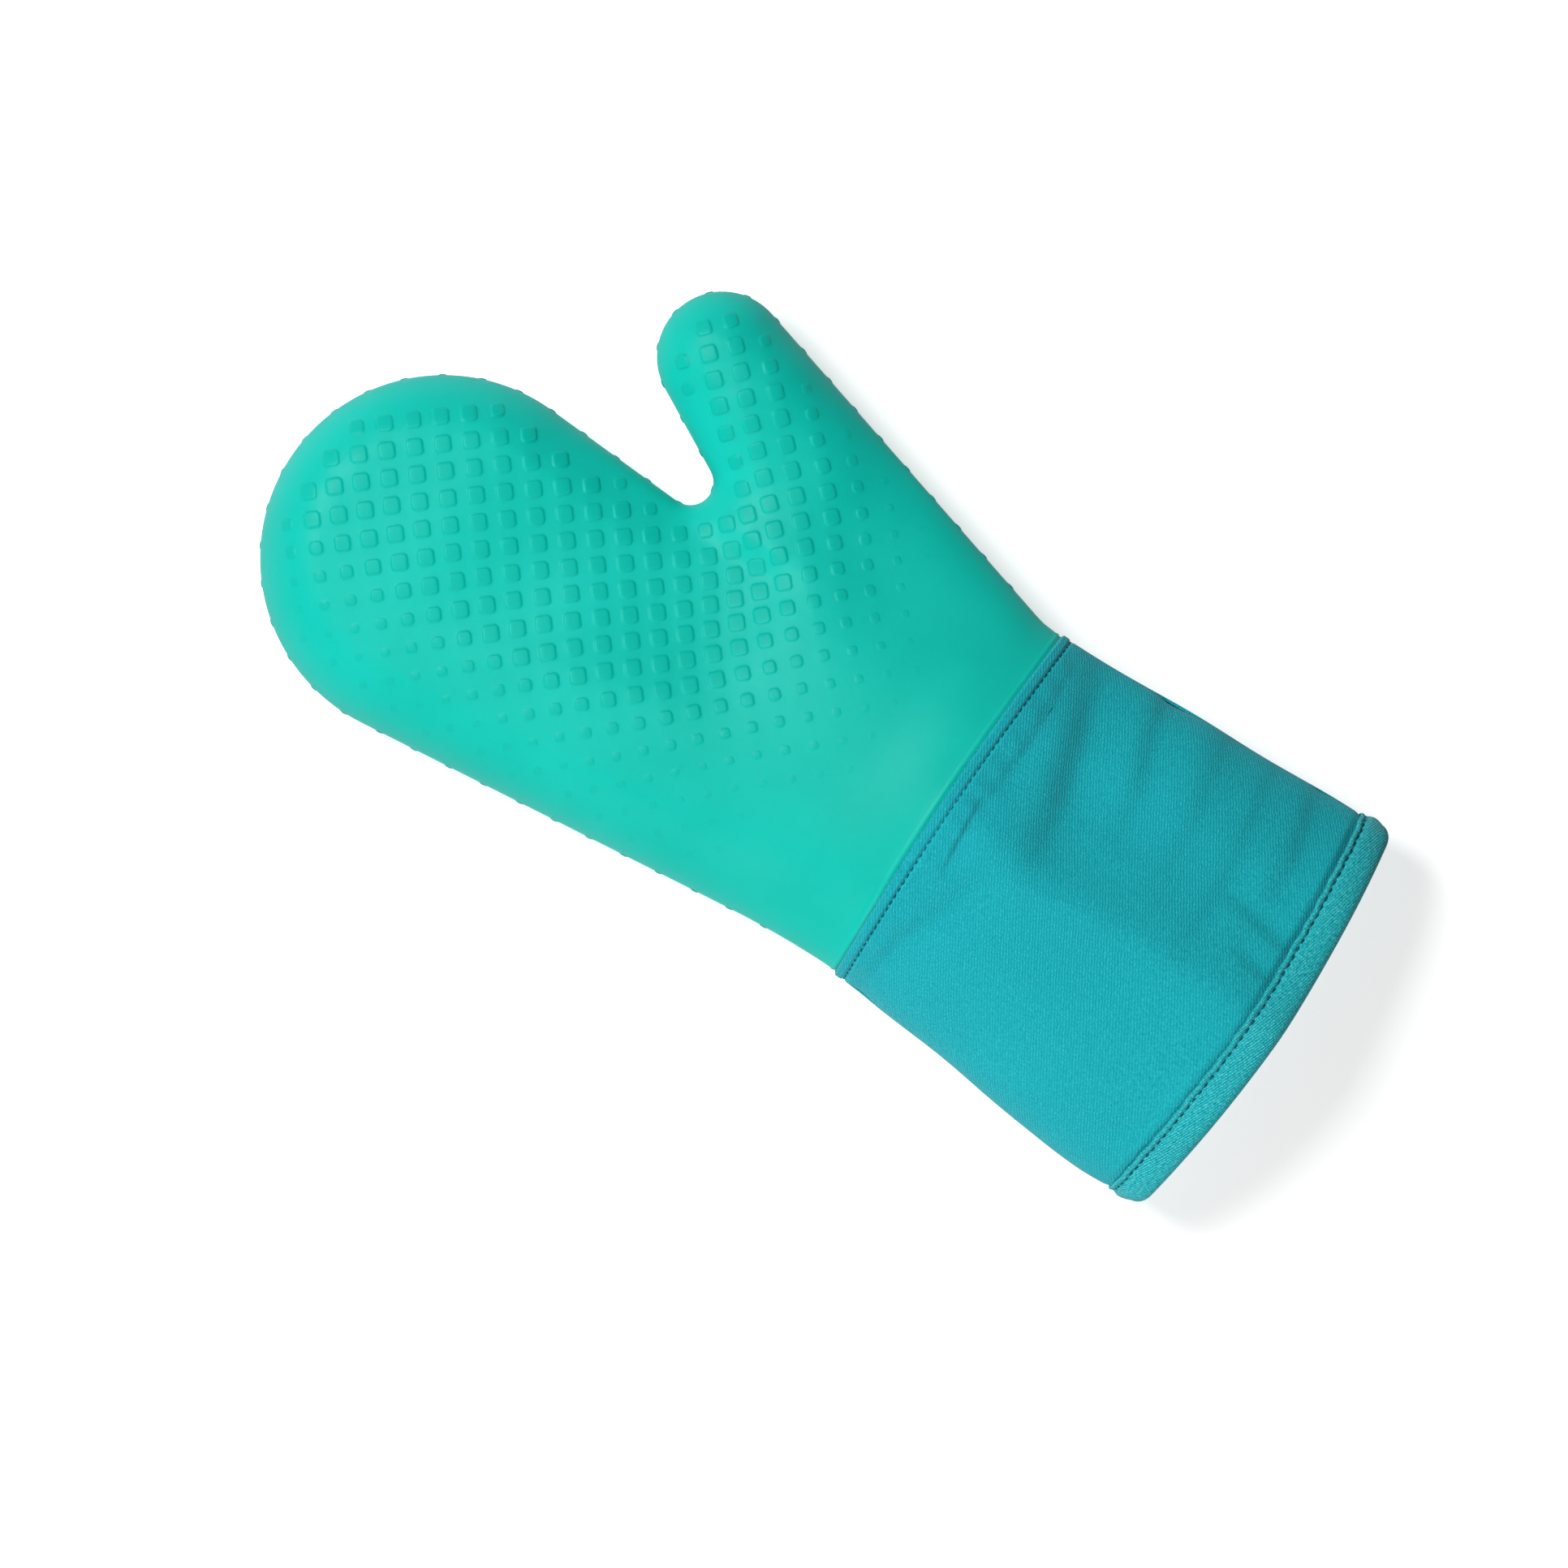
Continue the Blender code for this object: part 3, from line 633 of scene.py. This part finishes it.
# The low nubs round the hand: they start and end this far from the hem along the plan's edge.
NUBS_FROM, NUBS_TO = 134, 128
NUB_PITCH, NUB_RADIUS, NUB_HEIGHT = 11.6, 1.4, 0.3
NUB_TINT = 0.35


def dome(centre, normal, radius, height, wide=8):
    """A small closed dome that stands on a surface."""
    normal = np.array(normal) / np.linalg.norm(normal)
    side = np.cross(normal, (0.0, 0.3, 1.0))
    side /= np.linalg.norm(side)
    other = np.cross(normal, side)
    places = []
    for share, rise in ((1.0, -0.35), (0.86, 0.35), (0.5, 0.86)):
        places += circle(centre + normal * height * rise, side, other, radius * share, wide)
    places.append(centre + normal * height)
    faces = ring_faces(0, 3, wide) + fan_faces(2 * wide, wide, 3 * wide)
    faces.append(tuple(reversed(range(wide))))
    return places, faces


def edge_nubs():
    """The row of nubs along the plan's edge."""
    edge, inward = belt(0.5)
    length = lengths_along(edge)
    places, faces = [], []
    for at in np.arange(NUBS_FROM, length[-1] - NUBS_TO, NUB_PITCH):
        k = np.searchsorted(length, at)
        centre, out = np.array([*edge[k], MIDDLE_Z]), (*-inward[k], 0)
        more, more_faces = dome(centre, out, NUB_RADIUS, NUB_HEIGHT)
        faces += moved_faces(more_faces, len(places))
        places += more
    return places, faces


def silicone_shell(material):
    """The moulded hand: studs on both faces, a thin bead above the cuff and a hollow inside."""
    lines = [MOULD_END_Y, 108.0, 112.0, 115.2, 115.7, 116.1, 116.5, 116.9, 117.4, HAND_START_Y]
    rows, faces, marks, wrist = hand_net(
        lines, edge_step=1.6, fill_step=3.0, flats=36, angle_step=5, studs=grip_studs()
    )
    rise, tints_and_wall_shade = marks[:, 0], marks[:, 1:]
    # The strip's middle lines follow the cuff's bow.
    strip = rows[:, 1] <= HAND_START_Y
    bow = seam_bow(rows[:, 0])
    follow = blend(rows[:, 1], MOULD_END_Y, 112) * (1 - blend(rows[:, 1], 117.2, HAND_START_Y))
    rows[strip, 1] += ((bow - SEAM_BOW) * follow)[strip]
    bead = BEAD_HEIGHT * hump(rows[:, 1] - (SEAM_Y + bow + BEAD_GAP), 0.5) * strip
    places, faces, lower = both_faces(rows, faces, -(rise + bead))
    count = len(places)
    rows, wall_faces, _, inner_wrist = hand_net(
        [MOULD_END_Y, HAND_START_Y], edge_step=7, fill_step=9, flats=36, angle_step=5
    )
    wall, wall_faces, wall_lower = both_faces(rows, wall_faces, SILICONE_WALL)
    faces += turned_faces(wall_faces, count)
    for outer, inner in ((wrist, inner_wrist), (lower[wrist], wall_lower[inner_wrist])):
        faces += band(outer, [k + count for k in inner])
    tints_and_wall_shade = np.vstack([tints_and_wall_shade, tints_and_wall_shade, np.zeros((len(wall), 2))])
    places, faces, tints_and_wall_shade = compact(np.vstack([places, wall]), faces, tints_and_wall_shade)

    nubs, nub_faces = edge_nubs()
    faces += moved_faces(nub_faces, len(places))
    places = np.vstack([places, nubs])
    tints_and_wall_shade = np.vstack([tints_and_wall_shade, np.tile((NUB_TINT, 0.0), (len(nubs), 1))])
    # The second column is painted shade on the studs' walls; the first is their tops' deeper colour.
    floats = {"stud_top": tints_and_wall_shade[:, 0], "stud_wall_shade": tints_and_wall_shade[:, 1]}
    nodes, slot = ["silicone_shell"], "turquoise_silicone"
    finish_piece("moulded_hand", places, faces, material, nodes, floats)


# ---- The sewn cuff ----

# The twill stands this far out of the silicone's surface, and is this thick.
PANEL_INSET = -1.3
TWILL = 0.95
# Half the gap between the two panels at the side seams, and between the layers inside.
PANEL_SEAM = 0.1
LAYER_SEAM = 0.175
# The row of stitches at the wrist and the one in the binding: where they lie on the plan, how
# deep, and how far apart. The panels' raw edge lies inside the binding.
STITCH_Y, STITCH_INSET, STITCH_PITCH = 109.0, PANEL_INSET + 0.32, 2.4
HEM_STITCH_Y, HEM_STITCH_INSET, HEM_STITCH_PITCH = 8.3, -2.0, 2.9
RAW_EDGE = 2.65

# The lines across a panel, closer together where the cloth bends.
PANEL_LINES = np.r_[
    RAW_EDGE:8.7:1.5, 9.3:13.4:0.45, 14.2:99:1.5, 99:106.4:0.4, 106.4:112.2:0.24, SEAM_Y
]
PANEL_ANGLES = np.arange(0, 91, 3)

# Folds of the cuff's upper face: their line on the plan, how deep, and how far their banks reach
# above the line and below it.
FOLDS = [
    (((-20, 102), (-8, 103.5), (8, 105)), 1.15, 1.0, 5),
    (((0, 103), (25, 101.5), (56, 103.5)), 1.0, 2.4, 5),
    (((-68, 103), (-42, 101), (-26, 95), (-9, 90)), 1.15, 3.0, 8),
    (((14, 63.5), (34, 65.5), (50, 72), (72, 77)), 1.8, 4.2, 10),
    (((8, 46), (36, 48), (66, 54)), 0.8, 3.4, 9),
    (((-12, 32.5), (30, 33), (68, 38)), 0.7, 2.4, 7),
    (((22, 20), (42, 19.5), (70, 24)), 1.1, 3.0, 7),
    (((8, 4), (9.5, 12), (12, 24)), 0.8, 1.8, 4.5),
    (((19, 2), (20.5, 14), (24, 34)), 1.0, 1.8, 5.0),
    (((-51, 22), (-47, 13), (-45, 8)), 0.6, 2.5, 3.5),
]


def ripples(x, y, face):
    """How far the cuff's cloth stands proud of its smooth form: unevenness, puckers and folds."""
    small = 0.28 * np.sin(x / 12.5 + 1) * np.sin(y / 16 + 0.5) + 0.2 * np.sin((x * 0.6 + y) / 7.3)
    pucker = 0.2 * hump(y - 106.5, 3.0) * np.sin(x / 1.25 + 1.6 * np.sin(x / 9))
    total = small * blend(y, 8, 20) + pucker
    if face == BELOW:
        return total
    for line, depth, above, below in FOLDS:
        far, share = along_line(x, y, line)
        total -= depth * arch_along(share, 0.7) * hump(far, np.where(far > 0, above, below))
    return total


def panel_height(x, y, depth, arch, face):
    """How far a panel stands proud: its ripples, its sewn edges and the ditch beside the tape."""
    proud = ripples(x, y + arch - 0.6, face) * (1 - blend(y, 108, 109.5))
    # The stitches draw it in, and beyond them it bulges and rolls under.
    proud -= 0.4 * hump(y - STITCH_Y, 0.5)
    proud = proud + 0.4 * blend(y, STITCH_Y, STITCH_Y + 0.9) - 1.3 * blend(y, 111.6, 112.5)
    side_seam = 0.5 * hump(depth / 0.35, 1)
    ditch = (1.1 + 0.5 * blend(x, -20, 30)) * (1 - 0.6 * hump(depth, 4))
    return proud - side_seam - ditch * blend(y, 12.5, 9.2)


def cuff_panel(word, face, material):
    """One twill panel of the cuff, its upper edge folded under and sewn down on the mould."""
    outer, inner, weave = [], [], []
    for y in PANEL_LINES:
        rows = cuff_rows(y, PANEL_ANGLES, 52)
        x, depth = rows[:, 0], rows[:, 2]
        arch = seam_bow(x, y)
        proud = panel_height(x, y, depth, arch, face)
        places = lift(rows, PANEL_INSET - proud, face, PANEL_SEAM)
        under = lift(rows, PANEL_INSET - proud * blend(y, 111.5, 100) + TWILL, face, PANEL_SEAM)
        places[:, 1] += arch
        under[:, 1] += arch
        outer.append(places)
        inner.append(under)
        across = lengths_along(lift(rows, 0, face))
        weave.append(np.column_stack([across[-1] / 2 - across, np.full(len(rows), y), depth]))
    places, faces = grid_sheet(np.array(outer), np.array(inner))
    weave = np.vstack([np.vstack(weave)] * 2)
    name, nodes = f"twill_cuff_{word}", [f"cuff_panel_{word}"]
    cloth = finish_piece(name, places, faces, material, nodes, weave=weave)


# The tape's section: how deep each point lies and how far from the hem. It starts in the ditch
# beside the panel, goes over the lip and the sewn groove, round the raw edges and up the inside.
TAPE_SECTION = [
    (0.2, 9.0), (-0.7, 9.55), (-1.6, 10.1), (-2.3, 10.05), (-2.65, 9.45), (-2.6, 9.0), (-2.15, 8.6),
    (-1.66, 8.3), (-1.95, 7.95), (-2.45, 7.4), (-2.75, 6.5), (-2.85, 4.9), (-2.8, 3.1), (-2.6, 1.5),
    (-2.0, 0.2), (-0.8, -0.7), (1.0, -1.0), (3.0, -0.9), (4.8, -0.3), (6.1, 0.8), (6.8, 2.3),
    (6.95, 4.2), (6.95, 6.4), (6.8, 8.4), (6.45, 9.5), (6.05, 9.9), (5.78, 9.4), (5.76, 6.0),
    (5.7, 2.9), (4.6, 1.5), (2.6, 0.9), (0.6, 0.9), (-0.7, 1.6), (-1.28, 2.9), (-1.36, 6.0),
]
TAPE_ANGLES = np.arange(0, 90.1, 1.5)
TAPE_FLATS = 92


def thinned(rows):
    """How much nearer to the cuff the tape's outside lies at the two sides."""
    return 0.95 * hump(rows[:, 2], 2.5)


def hem_binding(material):
    """The bias tape folded over the cuff's raw edges, with its sewn groove."""
    section = np.array(TAPE_SECTION)
    ahead = np.roll(section, -1, axis=0)
    # Each corner of the section is cut once.
    section = np.stack([0.75 * section + 0.25 * ahead, 0.25 * section + 0.75 * ahead], 1)
    section = section.reshape(-1, 2)
    rows = cuff_rows(HEM_STITCH_Y, TAPE_ANGLES, TAPE_FLATS)
    upper, lower = (lift(rows, HEM_STITCH_INSET, face) for face in (ABOVE, BELOW))
    ring = np.vstack([upper, lower[-2:0:-1]])
    wide, span = len(ring), len(upper)
    length = lengths_along(np.vstack([ring, ring[:1]]))
    stitches = round(length[-1] / HEM_STITCH_PITCH)
    phase = length[:-1] / length[-1] * stitches * math.tau
    across = lengths_along(np.vstack([section, section[:1]]))

    def on_face(values, face):
        """A ring's values along one face, from the thumb side to the other."""
        return values[:span] if face == ABOVE else np.append(values[span - 1 :], values[0])[::-1]

    places, weave = [], []
    for (inset, y), v in zip(section, across):
        # The stitches pull the outside in, and its edge sways a little.
        pull = 0.16 * hump(y - HEM_STITCH_Y, 1.2) * np.cos(phase) * (inset < -1.5)
        sway = 0.14 * np.sin(phase * 0.37 + 1) + 0.1 * np.sin(phase * 0.113)
        ys = y + sway * blend(y, 6, 8.5) * (inset < -1.4)
        lines = []
        for face in (ABOVE, BELOW):
            rows = cuff_rows(y, TAPE_ANGLES, TAPE_FLATS)
            rows[:, 1] = on_face(ys, face)
            slim = blend(abs(inset - 2), 3.0, 4.2) * (1 + 0.35 * blend(y, HEM_STITCH_Y, 8.9))
            lines.append(lift(rows, inset + on_face(pull, face) + thinned(rows) * slim, face))
        places.append(np.vstack([lines[0], lines[1][-2:0:-1]]))
        weave.append(np.column_stack([-length[:-1], np.full(wide, -v), np.zeros(wide)]))
    faces = ring_faces(0, len(places), wide, closed=True)
    places, weave, nodes = np.vstack(places), np.vstack(weave), ["hem_binding"]
    tape = finish_piece("bias_tape", places, faces, material, nodes, weave=weave)


# Half the rings of a stitch: the share of its length, how thick, and how far up in radii.
STITCH_END = ((0.0, 0.35, -1.3), (0.13, 0.85, -0.35), (0.4, 1, 0))
STITCH_RINGS = (*STITCH_END, *((1 - t, thick, rise) for t, thick, rise in STITCH_END[::-1]))


def place_at(length, at, line):
    """The place at a length along a line, whose points lie at these lengths."""
    return np.array([np.interp(length, at, line[:, axis]) for axis in range(3)])


def stitch_row(name, lines, pitch, material, length, radius, wide=6):
    """Stitches along lines of places and normals, each end dipping into the cloth."""
    places, faces = [], []
    for line, normals in lines:
        at = lengths_along(line)
        for middle in np.arange(pitch / 2, at[-1], pitch):
            start = place_at(middle - length / 2, at, line)
            run = place_at(middle + length / 2, at, line) - start
            up = place_at(middle, at, normals)
            up /= np.linalg.norm(up)
            side = np.cross(up, run)
            side /= np.linalg.norm(side)
            first = len(places)
            for t, thick, rise in STITCH_RINGS:
                centre = start + run * t + up * rise * radius
                places += circle(centre, side, up, thick * radius, wide)
            last = len(places)
            faces += ring_faces(first, len(STITCH_RINGS), wide)
            faces.append(tuple(range(first + wide - 1, first - 1, -1)))
            faces.append(tuple(range(last - wide, last)))
    finish_piece(name, np.array(places), faces, material, [])


def stitch_line(y, inset, face, on_panel):
    """A line of places for stitches on a panel or on the tape, and the normals there."""
    lines = []
    for depth in (inset, inset - 1):
        rows = cuff_rows(y, np.arange(6, 90.1, 2), 60)
        places = lift(rows, depth if on_panel else depth + thinned(rows), face)
        if on_panel:
            places[:, 1] += seam_bow(rows[:, 0], y)
        lines.append(places)
    return lines[0], lines[1] - lines[0]


# ---- The layers inside ----

# How deep the pad and the lining lie, outside and inside, and how much the quilting moves them.
PAD_OUT, PAD_IN, PAD_PUFF = 2.75, 4.45, 0.2
LINING_OUT, LINING_IN, LINING_PUFF = 5.0, 5.25, 0.75
WADDING_OUT, WADDING_IN = 0.25, 2.2
QUILT = 26


def net_sheet(net, outer, inner, face):
    """A closed sheet between two depths of the hand's net, on one face."""
    rows, faces = net[:2]
    count = len(rows)
    places = np.vstack([lift(rows, inset, face, LAYER_SEAM) for inset in (outer, inner)])
    edges = {(a, b) for face in faces for a, b in zip(face, (*face[1:], face[0]))}
    rim = [(b, a, a + count, b + count) for a, b in edges if (b, a) not in edges]
    return compact(places, faces + turned_faces(faces, count) + rim)


def quilting(rows):
    """Pillows between two slanting sets of sewn lines, from 0 at a line to 1."""
    x, y = rows[:, 0], rows[:, 1]
    first = np.abs(np.sin(math.pi * (x + y) / QUILT))
    second = np.abs(np.sin(math.pi * (x - y) / QUILT))
    return np.sqrt(np.minimum(first, second))


def inner_layers(word, face, nets, batting, cotton):
    """The lining, the pad and the wadding of one face."""
    fine, coarse = nets
    depth = LINING_IN + LINING_PUFF * quilting(fine[0])
    places, faces = net_sheet(fine, LINING_OUT, depth, face)
    name, nodes = f"cotton_lining_{word}", [f"lining_{word}"]
    lining = finish_piece(name, places, faces, cotton, nodes, weave=places)

    depth = PAD_OUT - PAD_PUFF * quilting(coarse[0])
    places, faces = net_sheet(coarse, depth, PAD_IN, face)
    name, nodes = f"pad_{word}", [f"hand_padding_{word}"]
    pad = finish_piece(name, places, faces, batting, nodes)

    outer, inner = [], []
    for y in np.arange(RAW_EDGE + 0.2, 103, 4):
        rows = cuff_rows(y, np.arange(0, 91, 6), 14)
        ripple = ripples(rows[:, 0], np.full(len(rows), y), face)
        # It gives way to the folds above it, and to the ditch beside the tape.
        depth = WADDING_OUT - 0.8 * np.minimum(ripple, 0) + 1.2 * blend(y, 16, 12)
        outer.append(lift(rows, depth, face, LAYER_SEAM))
        inner.append(lift(rows, WADDING_IN, face, LAYER_SEAM))
    places, faces = grid_sheet(np.array(outer), np.array(inner))
    name, nodes = f"wadding_{word}", [f"cuff_padding_{word}"]
    wadding = finish_piece(name, places, faces, batting, nodes)


# ---- Materials ----


def set_inputs(tree, made, values):
    """Links a node's inputs or sets their own values, by their names or numbers."""
    for key, value in values.items():
        if isinstance(value, bpy.types.NodeSocket):
            tree.links.new(value, made.inputs[key])
        elif value is not None:
            made.inputs[key].default_value = value


def node(tree, kind, *inputs, out=0, **settings):
    """A new node with its inputs in order; returns one of its outputs."""
    made = tree.nodes.new(kind)
    for key, value in settings.items():
        setattr(made, key, value)
    set_inputs(tree, made, dict(enumerate(inputs)))
    return made.outputs[out]


def maths(tree, operation, *inputs):
    """A Math node."""
    return node(tree, "ShaderNodeMath", *inputs, operation=operation)


def mixed(tree, share, first, second):
    """A mix of two colours, whose inputs come after those for values and vectors."""
    inputs = (share, *[None] * 5, first, second)
    return node(tree, "ShaderNodeMix", *inputs, out=2, data_type="RGBA")


def noise(tree, place, scale, detail=2.0, roughness=0.5):
    """A noise texture's value."""
    return node(tree, "ShaderNodeTexNoise", place, None, scale, detail, roughness)


def ranged(tree, value, low, high, to_low=0, to_high=1):
    """A value moved from one range to another, held at its ends."""
    return node(tree, "ShaderNodeMapRange", value, low, high, to_low, to_high)


def bump(tree, height, distance):
    """A bump normal from a height in shares of a distance in metres."""
    made = tree.nodes.new("ShaderNodeBump")
    set_inputs(tree, made, {"Height": height, "Distance": distance})
    return made.outputs[0]


def new_material(name):
    """A material, its node tree and its surface shader."""
    made = bpy.data.materials.new(name)
    made.use_nodes = True
    return made, made.node_tree, made.node_tree.nodes["Principled BSDF"]


def colour(red, green, blue):
    """A linear colour from one in 0 to 255 as it looks on screen."""
    return (*(((c / 255 + 0.055) / 1.055) ** 2.4 for c in (red, green, blue)), 1)


def silicone():
    """Satin silicone, a little translucent, deeper in colour on the studs' tops, with painted shade
    darkening their walls.
    """
    made, tree, surface = new_material("turquoise_silicone")
    place = node(tree, "ShaderNodeTexCoord", out=3)
    top = node(tree, "ShaderNodeAttribute", attribute_name="stud_top", out=2)
    wall = node(tree, "ShaderNodeAttribute", attribute_name="stud_wall_shade", out=2)
    cloud = ranged(tree, noise(tree, place, 22, 3.0), 0.3, 0.7)
    base = mixed(tree, cloud, colour(12, 210, 193), colour(24, 218, 202))
    base = mixed(tree, ranged(tree, top, 0.15, 0.75, 0, 0.7), base, colour(2, 201, 185))
    # Painted shade: each stud's wall is darkened, most halfway up.
    base = mixed(tree, ranged(tree, wall, 0, 1, 0, 0.35), base, colour(0, 184, 164))
    grain = noise(tree, place, 1400)
    values = {
        "Base Color": base,
        "Roughness": ranged(tree, grain, 0.3, 0.7, 0.42, 0.52),
        "Normal": bump(tree, grain, 0.00002),
        "Specular IOR Level": 0.15,
        "Subsurface Weight": 0.8,
        "Subsurface Radius": (0.3, 1.0, 0.85),
        "Subsurface Scale": 0.003,
    }
    set_inputs(tree, surface, values)
    return made


def twill(name, light, middle, dark, slant, pitch):
    """A twill weave: slanting wales of short floats, evener in some places than in others.

    slant is the wales' angle in degrees, and pitch the way from one to the next in metres.
    """
    made, tree, surface = new_material(name)
    place = node(tree, "ShaderNodeAttribute", attribute_name="weave", out=1)
    u, v = node(tree, "ShaderNodeSeparateXYZ", place).node.outputs[:2]
    angle = math.radians(slant)

    def turned(over_u, over_v, length, waves, share):
        """How many lengths along one direction of the cloth a place lies, straying a little."""
        line = maths(tree, "MULTIPLY", u, over_u / length)
        line = maths(tree, "ADD", line, maths(tree, "MULTIPLY", v, over_v / length))
        stray = maths(tree, "MULTIPLY", noise(tree, place, waves, 1.0), share)
        return maths(tree, "ADD", line, stray)

    def wave(turns):
        """0 at each whole number and 1 halfway between."""
        angles = maths(tree, "MULTIPLY", turns, math.tau)
        return ranged(tree, maths(tree, "COSINE", angles), -1, 1, 1, 0)

    across = turned(-math.sin(angle), math.cos(angle), pitch, 600, 0.9)
    along = turned(math.cos(angle), math.sin(angle), pitch * 1.5, 900, 1.6)
    # Each wale's floats start at another place.
    shift = tree.nodes.new("ShaderNodeTexWhiteNoise")
    shift.noise_dimensions = "1D"
    set_inputs(tree, shift, {"W": maths(tree, "FLOOR", across)})
    floats = wave(maths(tree, "ADD", along, shift.outputs[0]))
    height = maths(tree, "MULTIPLY", wave(across), ranged(tree, floats, 0, 1, 0.45, 1))
    fleck = noise(tree, place, 1000, 3.0, 0.6)
    even = ranged(tree, noise(tree, place, 28), 0.35, 0.6, 0.3, 0.65)
    shade = node(tree, "ShaderNodeMix", even, None, ranged(tree, fleck, 0.25, 0.75), height)
    base = mixed(tree, ranged(tree, shade, 0.05, 0.5), colour(*dark), colour(*middle))
    values = {
        "Base Color": mixed(tree, ranged(tree, shade, 0.5, 0.95), base, colour(*light)),
        "Roughness": 0.85,
        "Specular IOR Level": 0.2,
        "Sheen Weight": 0.15,
        "Sheen Roughness": 0.5,
        "Normal": bump(tree, height, 0.00012),
    }
    set_inputs(tree, surface, values)
    return made


def yarn(name, light, scale, depth):
    """A soft fibrous surface: sewing thread, batting or plain cotton."""
    made, tree, surface = new_material(name)
    fibre = noise(tree, node(tree, "ShaderNodeTexCoord", out=3), scale, 3.0, 0.6)
    dark = [c * 0.62 for c in light]
    values = {
        "Base Color": mixed(tree, ranged(tree, fibre, 0.3, 0.7), colour(*dark), colour(*light)),
        "Roughness": 0.9,
        "Specular IOR Level": 0.15,
        "Normal": bump(tree, fibre, depth),
    }
    set_inputs(tree, surface, values)
    return made


# ---- Pieces ----

silicone_shell(silicone())
cuff_colours = (54, 210, 219), (18, 191, 202), (4, 163, 179)
tape_colours = (136, 236, 238), (30, 204, 212), (0, 128, 148)
cuff_twill = twill("teal_twill", *cuff_colours, slant=30, pitch=0.00082)
tape_twill = twill("teal_tape", *tape_colours, slant=-19, pitch=0.00072)
thread = yarn("teal_thread", (18, 112, 128), scale=3000, depth=0.00005)
cotton = yarn("grey_cotton", (176, 186, 186), scale=1500, depth=0.00006)
batting = yarn("white_batting", (225, 225, 220), scale=600, depth=0.0002)
fine_lines = [*np.arange(RAW_EDGE, HAND_START_Y, 1.8), HAND_START_Y]
coarse_lines = [*np.arange(RAW_EDGE, HAND_START_Y, 9), HAND_START_Y]
nets = [
    hand_net(fine_lines, edge_step=5, fill_step=6, flats=34, angle_step=10),
    hand_net(coarse_lines, edge_step=7, fill_step=9, flats=14, angle_step=15),
]
for word, face in (("upper", ABOVE), ("lower", BELOW)):
    inner_layers(word, face, nets, batting, cotton)
    cuff_panel(word, face, cuff_twill)
hem_binding(tape_twill)
wrist_lines = [stitch_line(STITCH_Y, STITCH_INSET, face, True) for face in (ABOVE, BELOW)]
hem_lines = [stitch_line(HEM_STITCH_Y, HEM_STITCH_INSET, face, False) for face in (ABOVE, BELOW)]
stitch_row("wrist_stitches", wrist_lines, STITCH_PITCH, thread, length=1.7, radius=0.2)
stitch_row("hem_stitches", hem_lines, HEM_STITCH_PITCH, thread, length=1.9, radius=0.19)


# ---- Floor, light and camera ----

# The cuff's binding rests this far below the solids.
FLOOR_Z = -0.55 * MM
# How wide the picture is at the mitt's middle plane, and how high over it the camera hangs.
FRAME_WIDTH = 0.4637
CAMERA_HEIGHT = 3.0


def lamp(name, way, distance, size, watts):
    """A soft square lamp that shines on the mitt's middle from this direction."""
    light = bpy.data.lights.new(name, "AREA")
    light.shape = "SQUARE"
    light.size = size
    light.energy = watts
    made = new_object(name, light)
    way = Vector(way).normalized()
    made.location = way * distance
    made.rotation_euler = way.to_track_quat("Z", "Y").to_euler()


def white_floor():
    """A floor that renders white, with the mitt's shadow on it; only the camera sees it glow."""
    made, tree, surface = new_material("white_floor")
    seen = node(tree, "ShaderNodeLightPath")
    values = {
        "Base Color": (0.86, 0.86, 0.86, 1),
        "Roughness": 0.9,
        "Specular IOR Level": 0.0,
        "Emission Color": (1, 1, 1, 1),
        "Emission Strength": maths(tree, "MULTIPLY", seen, 0.6),
    }
    set_inputs(tree, surface, values)
    mesh = bpy.data.meshes.new("floor")
    corners = [(x, y, FLOOR_Z) for x, y in ((-4, -4), (4, -4), (4, 4), (-4, 4))]
    mesh.from_pydata(corners, [], [(0, 1, 2, 3)])
    mesh.materials.append(made)
    floor = new_object("floor", mesh)


def white_world():
    """White where the camera sees it, and a dimmer even light on everything."""
    world = bpy.data.worlds.new("studio")
    world.use_nodes = True
    tree = world.node_tree
    seen = node(tree, "ShaderNodeLightPath")
    values = {"Color": (1, 1, 1, 1), "Strength": ranged(tree, seen, 0, 1, 0.04, 1.0)}
    set_inputs(tree, tree.nodes["Background"], values)
    bpy.context.scene.world = world


white_floor()
white_world()
lamp("key", way=(0.0, 0.5, 0.866), distance=1.2, size=0.5, watts=11.2)
lamp("side", way=(-0.75, -0.433, 0.5), distance=0.9, size=0.4, watts=2.8)

camera = new_object("camera", bpy.data.cameras.new("camera"))
camera.data.lens = camera.data.sensor_width * CAMERA_HEIGHT / FRAME_WIDTH
camera.location = (-0.0293, -0.0057, MIDDLE_Z * MM + CAMERA_HEIGHT)
camera.rotation_euler = (0, 0, math.radians(-56))
bpy.context.scene.camera = camera
bpy.context.scene.view_settings.view_transform = "Standard"
